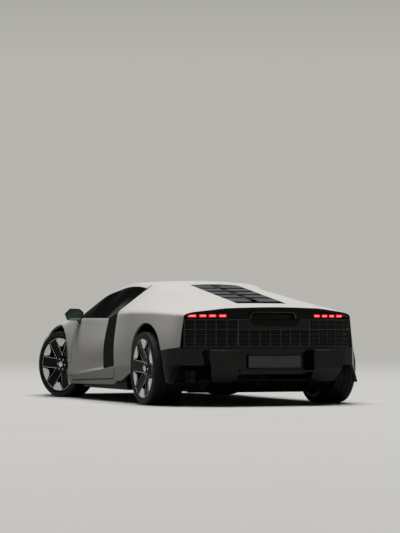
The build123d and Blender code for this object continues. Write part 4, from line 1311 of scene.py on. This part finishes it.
def make_lower_tail():
    corner = skin_panel(
        (4.0, SILL_END, 1720), fixed_to(BUMPER_SIDE_REAR), (BUMPER_CORNER, "rear", True, 0), REAR_ARCH,
        shell=(24, 4),
    )
    piece_pair("bumper_corner", corner, "root", BUMPER_BLACK, "black_gloss", "rear_bumper")
    side = [tuple(skin(u, np.array([tail_end(u)]))[0]) for u in np.arange(5, 8.2, 0.25)]
    side = [(x - 1, z) for x, z in side if 378 < z < 522]
    edge = side[0][0]
    wing = [(360, BUMPER_TOP), (edge, BUMPER_TOP), *side, *BUMPER_EDGE, (360, 300)]
    faces = [prism(outline, "rear", -FACE_DEPTH, 0, 2.5) for outline in (wing, opposite(wing)[len(wing):])]
    faces.append(box(-RECESS_HALF, RECESS_HALF, -FACE_DEPTH, 0, RECESS_TOP, BUMPER_TOP, 2.5))
    faces.append(box(-RECESS_HALF, RECESS_HALF, -44, -22, 290, RECESS_TOP + 2, 1))
    for x0, x1 in ((2 - edge, -LIP_FROM_X), (LIP_FROM_X, edge - 2)):
        faces.append(box(x0, x1, -10, 7, LIP_FOOT, BUMPER_TOP - 2, 4))
    piece("bumper_face", tail_mesh(faces), "root", BUMPER_BLACK, "black_gloss")
    pods = []
    (y0, z0), (y1, z1) = scaled(POD_UNDER)
    slope = Vector((0, z0 - z1, y1 - y0)).normalized()
    for sign in (-1, 1):
        pod = prism([(sign * x, z) for x, z in rounded(POD, 10)], "rear", POD_FRONT_Y, TAIL_Y, 7, 3)
        parts = [*pod.verts, *pod.edges, *pod.faces]
        rim = bmesh.ops.bisect_plane(
            pod, geom=parts, dist=CUT_DIST, plane_co=(0, y0, z0), plane_no=slope, clear_outer=True,
        )["geom_cut"]
        bmesh.ops.holes_fill(pod, edges=[e for e in rim if isinstance(e, bmesh.types.BMEdge)])
        pods.append(pod)
    pods.append(box(*POD_BRIDGE, 3))
    piece("bumper_pods", pods, "root", BUMPER_BLACK, "black_gloss")


PLATE_EDGES = (-260, 260, 349, 459)  # left, right, foot and top
PLATE_BACK_Y = 2180
PLATE_FRAME = (7, 6)  # how wide its frame is at the sides, and above and below
PLATE_HOLDER_Y = 2150
PLATE_BOLT = (180, 442, 5)  # x, z, radius


def make_plate():
    x0, x1, z0, z1 = PLATE_EDGES
    back = PLATE_BACK_Y
    blank = prism(rounded(rectangle(*PLATE_EDGES), 9), "rear", back, back + 5)
    piece("plate_blank", [blank], "root", PLATE, "plate", "number_plate")
    wide, high = PLATE_FRAME
    parts = []
    for edges in (
        (x0 - wide, x1 + wide, z1, z1 + high), (x0 - wide, x1 + wide, z0 - high, z0), (x0 - wide, x0, z0, z1),
        (x1, x1 + wide, z0, z1),
    ):
        parts.append(box(*edges[:2], back - 12, back + 6, *edges[2:]))
    parts.append(box(x0 + 20, x1 - 20, PLATE_HOLDER_Y, back, z0 + 15, z1 - 15, 1))
    for sign in (-1, 1):
        x, z, radius = PLATE_BOLT
        parts.append(prism(circle(sign * x, z, radius, 12), "rear", back + 4, back + 7, 1))
    piece("plate_frame", parts, "root", SATIN_BLACK, "black_trim")


DIFFUSER_RAMP = [(1760, 118), (2080, 226), (2120, 232), (2120, 246), (2080, 244), (1760, 136)]
DIFFUSER_FIN = [(1790, 122), (2060, 150), (2112, 212), (2112, 236), (1790, 136)]
DIFFUSER_FINS = [-640, -400, -150, 150, 400, 640]
DIFFUSER_HALF = 690


def make_diffuser():
    parts = [prism(DIFFUSER_RAMP, "side", -DIFFUSER_HALF, DIFFUSER_HALF, 3)]
    parts += [prism(DIFFUSER_FIN, "side", x - 5, x + 5, 2) for x in DIFFUSER_FINS]
    piece("diffuser_panel", parts, "root", MATTE_BLACK, "black_plastic", "diffuser")


make_fascia_panel()
make_fascia_grid()
make_lamps()
make_outlet()
make_lower_tail()
make_plate()
make_diffuser()


# ---- nose details

SPLITTER = [(560, -2243), (745, -2098), (872, -1895), (903, -1620), (560, -1604)]
SPLITTER_Z = (119, 137)
SPLITTER_FEET = (-600, -360, -120, 120, 360, 600)
SPLITTER_FOOT = (-2000, -1640, 116.5, 122)  # y and z
LAMP_STRIP = [(384, 396), (764, 411), (763, 419), (384, 404)]
SLAT_PITCH = 22
SLAT_THICK = 6
INTAKE_EDGES = (196, 322)


def nose_cut(inset, outline, growth):
    return cut(patch(nose_grid(-1880), inset, forward=True), (outline, "rear", True, growth))


def make_headlamps():
    for part, outline, inset, growth, depth, edge, finish, slot, node in (
        ("cover", HEADLAMP, 4, -1.5, 3.5, 0.8, CLEAR, "lamp_clear", "headlamps"),
        ("housing", HEADLAMP, 30, 0, 4, 1, GLOSS_BLACK, "black_gloss", None),
        ("strip", LAMP_STRIP, 14, 0, 6, 1.2, LAMP_WHITE, "lamp_clear", None),
    ):
        shell = thicken(nose_cut(inset, outline, growth), depth, edge)
        piece_pair(f"headlamp_{part}", shell, "root", finish, slot, node)


def make_intakes():
    shells = [thicken(nose_cut(70, outline, 3), 4, 1.2) for outline in (INTAKE_MIDDLE, INTAKE_SIDE)]
    for z in np.arange(*INTAKE_EDGES, SLAT_PITCH):
        for outline in (INTAKE_MIDDLE, INTAKE_SIDE):
            slat = nose_cut(28, outline, 2)
            trim(slat, rectangle(-10, 800, z, z + SLAT_THICK), "rear")
            if slat.faces:
                shells.append(thicken(slat, 34, 1.2))
    joined = bmesh.new()
    for shell in shells:
        for side in (shell, mirrored_shell(shell)):
            mesh = shell_mesh(side)
            joined.from_mesh(mesh)
            bpy.data.meshes.remove(mesh)
    piece("intake_slats", bm_mesh(joined), "root", MATTE_BLACK, "black_plastic", "front_intakes")


def make_splitter():
    outline = rounded(opposite(SPLITTER), 40, 5)
    parts = [prism(outline, "plan", *SPLITTER_Z, 5, 3)]
    parts += [box(x - 4, x + 4, *SPLITTER_FOOT, 1) for x in SPLITTER_FEET]
    piece("splitter_blade", parts, "root", SATIN_BLACK, "black_plastic", "front_splitter")


make_headlamps()
make_intakes()
make_splitter()


# ---- cabin

SEAT_X = 370
PLEAT = 44
PAD_ROUND = 30
PAD_CORE = 0.45  # height about which a pad's section shrinks towards its ends
# Shares of the half width: raised sides (start, reach), pleats' end, panel of the second tone, edge
PAD_SIDES = (0.5, 0.28)
PLEATED = 0.6
TONE_REACH = 0.52
PAD_EDGE = 0.8
STITCH = 0.14  # share of a pleat that its seam takes
# Part, base line and top line (y, z), half width, how hollow
SEAT_PADS = (
    ("squab", [(-246, 192), (176, 192)], [(-246, 328), (176, 272)], 228, 0.24),
    ("backrest", [(332, 290), (424, 796)], [(178, 262), (334, 796)], 228, 0.3),
    ("headrest", [(432, 802), (438, 946)], [(350, 802), (368, 946)], 124, 0.08),
)
SEAT_SHELL_HALF = 200
SEAT_RAILS = (150, 18)  # distance from the seat's middle, half width
SEAT_RAIL_SIDE = (-220, 160, 168, 195)  # y and z
SEAT_SHELL = [(338, 286), (349, 283), (439, 800), (428, 803)]
ARMREST = [(-70, 334), (170, 334)], [(-70, 360), (170, 360)]
DASH = [(-738, 562), (-738, 768), (-640, 771), (-522, 721), (-482, 622), (-560, 543)]
DISPLAY = [(-521, 714), (-511, 718), (-474, 634), (-484, 630)]
DASH_HALF = 696
HOOD = (370, 150, 758, 34)  # middle x, half width, foot z, height
HOOD_Y = (-660, -530)
# Boxes as x, y and z edges
DASH_SHELF = (-526, 526, -958, -744, 753, 771)
CONSOLE = (-108, 108, -558, 178, 141, 338)
CONSOLE_STACK = (-108, 108, -598, -502, 302, 556)
GEAR_PLATE = (-50, 50, -360, -220, 336, 344)
KEYS_X, KEYS_Z = (-67.5, -22.5, 22.5, 67.5), (400, 440, 480)
KEY = (18, 26)  # half width, height
KEY_Y = (-504, -496)
WHEEL_CENTRE = (370, -390, 690)
WHEEL_TILT = math.radians(22)
GRIP = (172, 14)  # radius of the wheel's rim and of its section
SPOKE_SPAN = (30, 166)
PADDLE_SPAN = (60, 120)
VENTS = [(-610, 676), (-190, 676), (190, 676), (610, 676)]
VENT_Y = -500
VENT_LEAN = -0.38  # rad
VENT_SLATS = (-16, -5, 6, 17)
VENT_BEZEL = [(-6, 30), (6, 30), (9, 34), (6, 39), (-6, 40)]
KNOB_PLACE = (0, -160, 338)
KNOB = [(0, 2), (0, 17), (22, 15), (25, 11), (25, 2)]


def smooth(share):
    return share * share * (3 - 2 * share)


def stuffed(base, top, half, hollow, pleat, centre_x=0):
    """Upholstered pad over a base line, with raised sides and sewn pleats between them."""
    base, top = np.array(base, float), np.array(top, float)
    length = np.linalg.norm(base[1] - base[0])
    ring = []
    for s in np.linspace(1, -1, 81):
        level = 1 - hollow * (1 - smooth(min(max((abs(s) - PAD_SIDES[0]) / PAD_SIDES[1], 0), 1)))
        away = abs((abs(s) * half / PLEAT + 0.5) % 1 - 0.5)
        if abs(s) < PLEATED:
            level -= pleat * max(0, 1 - away / STITCH) ** 2
        edge = max(0, (abs(s) - PAD_EDGE) / (1 - PAD_EDGE))
        ring.append((s, level * math.sqrt(1 - 0.8 * edge * edge)))
    ring += [(-0.98, 0.12), (-0.9, 0), (0.9, 0), (0.98, 0.12)]
    rings = []
    for t in 0.5 - 0.5 * np.cos(np.linspace(0, math.pi, 30)):
        lack = max(0, 1 - min(t, 1 - t) * length / PAD_ROUND)
        size = 1 - 0.3 * (1 - math.sqrt(1 - lack * lack))
        foot, rise = base[0] * (1 - t) + base[1] * t, (top - base)[0] * (1 - t) + (top - base)[1] * t
        wide = half * (1 + size) / 2
        points = []
        for s, level in ring:
            points.append((centre_x + s * wide, *(foot + rise * (PAD_CORE + (level - PAD_CORE) * size))))
        rings.append(points)
    return bm_mesh(loft(rings), 50)


def make_seats():
    for side, x in zip(SIDES, (SEAT_X, -SEAT_X)):
        for part, base, top, half, hollow in SEAT_PADS:
            mesh = stuffed(base, top, half, hollow, 0.05, x)
            for face in mesh.polygons:
                face.material_index = int(abs(face.center.x / MM - x) < half * TONE_REACH)
            replaced = ["seats"] if (side, part) == ("left", "squab") else []
            pad = piece(f"seat_{part}_{side}", mesh, "root", (LEATHER, LEATHER_PANEL), "leather", *replaced)
        parts = [prism(SEAT_SHELL, "side", x - SEAT_SHELL_HALF, x + SEAT_SHELL_HALF, 3)]
        away, half = SEAT_RAILS
        parts += [box(rail - half, rail + half, *SEAT_RAIL_SIDE, 3) for rail in (x - away, x + away)]
        piece(f"seat_frame_{side}", parts, "root", SOFT_TRIM, "cabin_trim")


def make_dashboard():
    x, half, z, high = HOOD
    hood = [(x + half * math.cos(t), z + high * math.sin(t)) for t in np.linspace(0, math.pi, 20)]
    piece("dashboard_body", [
        sliced(prism(DASH, "side", -DASH_HALF, DASH_HALF, 14, 3), 100), box(*DASH_SHELF, 4),
        prism(hood, "rear", *HOOD_Y, 6, 3), box(*CONSOLE, 16, 4), box(*CONSOLE_STACK, 10, 3),
    ], "root", SOFT_TRIM, "cabin_trim", "dashboard")
    rest = piece("console_armrest", stuffed(*ARMREST, 84, 0.1, 0.03), "root", LEATHER, "leather")
    details = [prism(DISPLAY, "side", -115, 115), box(*GEAR_PLATE, 3)]
    for x, z in VENTS:
        vent = [lathe(VENT_BEZEL, 48)] + [box(-4, 3, -30, 30, h - 1, h + 1, 0.4) for h in VENT_SLATS]
        turn = Matrix.Translation(Vector((x, VENT_Y, z)) * MM) @ Matrix.Rotation(VENT_LEAN, 4, "X")
        details += [copied(bm, turn @ Matrix.Rotation(math.pi / 2, 4, "Z")) for bm in vent]
    half, high = KEY
    for x in KEYS_X:
        details += [box(x - half, x + half, *KEY_Y, z, z + high, 2) for z in KEYS_Z]
    upright = Matrix.Translation(Vector(KNOB_PLACE) * MM) @ Matrix.Rotation(-math.pi / 2, 4, "Y")
    details.append(copied(lathe(KNOB, 40), upright))
    piece("dashboard_details", details, "root", GLOSS_BLACK, "black_gloss")


def make_steering_wheel():
    x, y, z = Vector(WHEEL_CENTRE) * MM
    rise, lean = math.cos(WHEEL_TILT), math.sin(WHEEL_TILT)
    tilt = Matrix(((0, -1, 0, x), (rise, 0, -lean, y), (lean, 0, rise, z), (0, 0, 0, 1)))
    radius, thick = GRIP
    grip = lathe([(thick * math.cos(t), radius + thick * math.sin(t)) for t in turns(16)])
    piece("steering_wheel_rim", [copied(grip, tilt)], "root", LEATHER, "leather", "steering_wheel")
    hub = [disc(46, -30, 16, 6), disc(23, -130, -20, 2), box(-8, 6, -18, 18, -166, -30, 4)]
    for side in (-1, 1):
        hub.append(box(-8, 6, *sorted(side * y for y in SPOKE_SPAN), -16, 16, 4))
        hub.append(box(-30, -24, *sorted(side * y for y in PADDLE_SPAN), 0, 70, 2))
    piece("steering_wheel_hub", [copied(merged(hub), tilt)], "root", SATIN_BLACK, "cabin_trim")


make_seats()
make_dashboard()
make_steering_wheel()


# ---- finishes of the parts shown as built

CARRIED = {
    "floor_tub": UNDERBODY, "arch_liners": UNDERBODY, "bulkhead": SOFT_TRIM, "engine_block": CAST,
    "front_axle": STEEL, "rear_axle": STEEL, "knuckle_left": STEEL, "knuckle_right": STEEL,
}
for node_name, finish in CARRIED.items():
    node_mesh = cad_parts[node_name].data
    node_mesh.materials.clear()
    node_mesh.materials.append(finish)


# ---- stage, light and camera

FLOOR_SEEN = (0.6, 0.59, 0.565)
FLOOR_HALF = 60  # m
FLOOR_FADE = (4, 30)  # distance over which it turns into the backdrop, m
FLOOR_BOUNCE = (0.07, 0.068, 0.066, 1)
BACKDROP = (0.47, 0.46, 0.43)
CEILING = (0.05, 0.05, 0.052, 1)
HORIZON_BAND = (0.12, 0.36)  # where the backdrop turns into the dark ceiling
SUN_STRENGTH = 3.2
SUN_SPREAD = math.radians(50)  # as an overcast sky is
AMBIENT = 0.012
AMBIENT_COLOR = (0.95, 0.97, 1.0, 1)


def seen_directly(tree):
    """Output that is 1 for what the camera sees straight, in gloss or through glass."""
    path = add_node(tree, "LightPath").outputs
    result = path["Is Camera Ray"]
    for name in ("Is Glossy Ray", "Is Transmission Ray"):
        either = add_node(tree, "Math", result, path[name], settings=[("operation", "MAXIMUM")])
        result = either.outputs["Value"]
    return result


def make_stage():
    bm = bmesh.new()
    bmesh.ops.create_grid(bm, x_segments=8, y_segments=8, size=FLOOR_HALF)
    floor = link("floor", bpy.data.meshes.new("floor"))
    bm.to_mesh(floor.data)
    bm.free()
    material = surface("pale_floor", FLOOR_SEEN, 0.9, 0, (0.7, 0.03), (40, 0.3), Specular_IOR_Level=0.1)
    tree = material.node_tree
    base = tree.nodes["Principled BSDF"].inputs["Base Color"]
    place = add_node(tree, "TexCoord").outputs["Object"]
    reach = add_node(tree, "VectorMath", place, settings=[("operation", "LENGTH")]).outputs["Value"]
    fade = add_node(
        tree, "MapRange", settings=[("interpolation_type", "SMOOTHSTEP")], Value=reach,
        From_Min=FLOOR_FADE[0], From_Max=FLOOR_FADE[1],
    ).outputs["Result"]
    far = (*[c * math.pi / SUN_STRENGTH for c in BACKDROP], 1)
    seen = blend(tree, fade, base.links[0].from_socket, far)
    tree.links.new(blend(tree, seen_directly(tree), FLOOR_BOUNCE, seen), base)
    floor.data.materials.append(material)


def make_light():
    sun = bpy.data.lights.new("overhead_sky", "SUN")
    sun.energy = SUN_STRENGTH
    sun.angle = SUN_SPREAD
    link("overhead_sky", sun)
    world = bpy.data.worlds.new("studio")
    bpy.context.scene.world = world
    world.use_nodes = True
    tree = world.node_tree
    tree.nodes.clear()
    coords = add_node(tree, "TexCoord").outputs["Generated"]
    height = add_node(tree, "SeparateXYZ", coords).outputs["Z"]
    band = add_node(tree, "MapRange", Value=height, From_Min=HORIZON_BAND[0], From_Max=HORIZON_BAND[1])
    sky = blend(tree, band.outputs["Result"], (*BACKDROP, 1), CEILING)
    seen = add_node(tree, "Background", Color=sky).outputs["Background"]
    lit = add_node(tree, "Background", Color=AMBIENT_COLOR, Strength=AMBIENT).outputs["Background"]
    mix = add_node(tree, "MixShader", seen_directly(tree), lit, seen)
    add_node(tree, "OutputWorld", Surface=mix.outputs["Shader"])


def make_camera():
    data = bpy.data.cameras.new("camera")
    data.lens = CAMERA_LENS
    data.sensor_width = CAMERA_SENSOR
    data.clip_end = 200
    camera = link("camera", data)
    level = math.cos(CAMERA_PITCH)
    forward = Vector((
        -math.sin(CAMERA_AZIMUTH) * level, -math.cos(CAMERA_AZIMUTH) * level, math.sin(CAMERA_PITCH),
    ))
    right = forward.cross(Vector((0, 0, 1))).normalized()
    turn = Matrix((right, right.cross(forward), -forward)).transposed().to_4x4()
    camera.matrix_world = Matrix.Translation(CAMERA_PLACE) @ turn
    bpy.context.scene.camera = camera


make_stage()
make_light()
make_camera()
bpy.context.scene.view_settings.view_transform = "Standard"
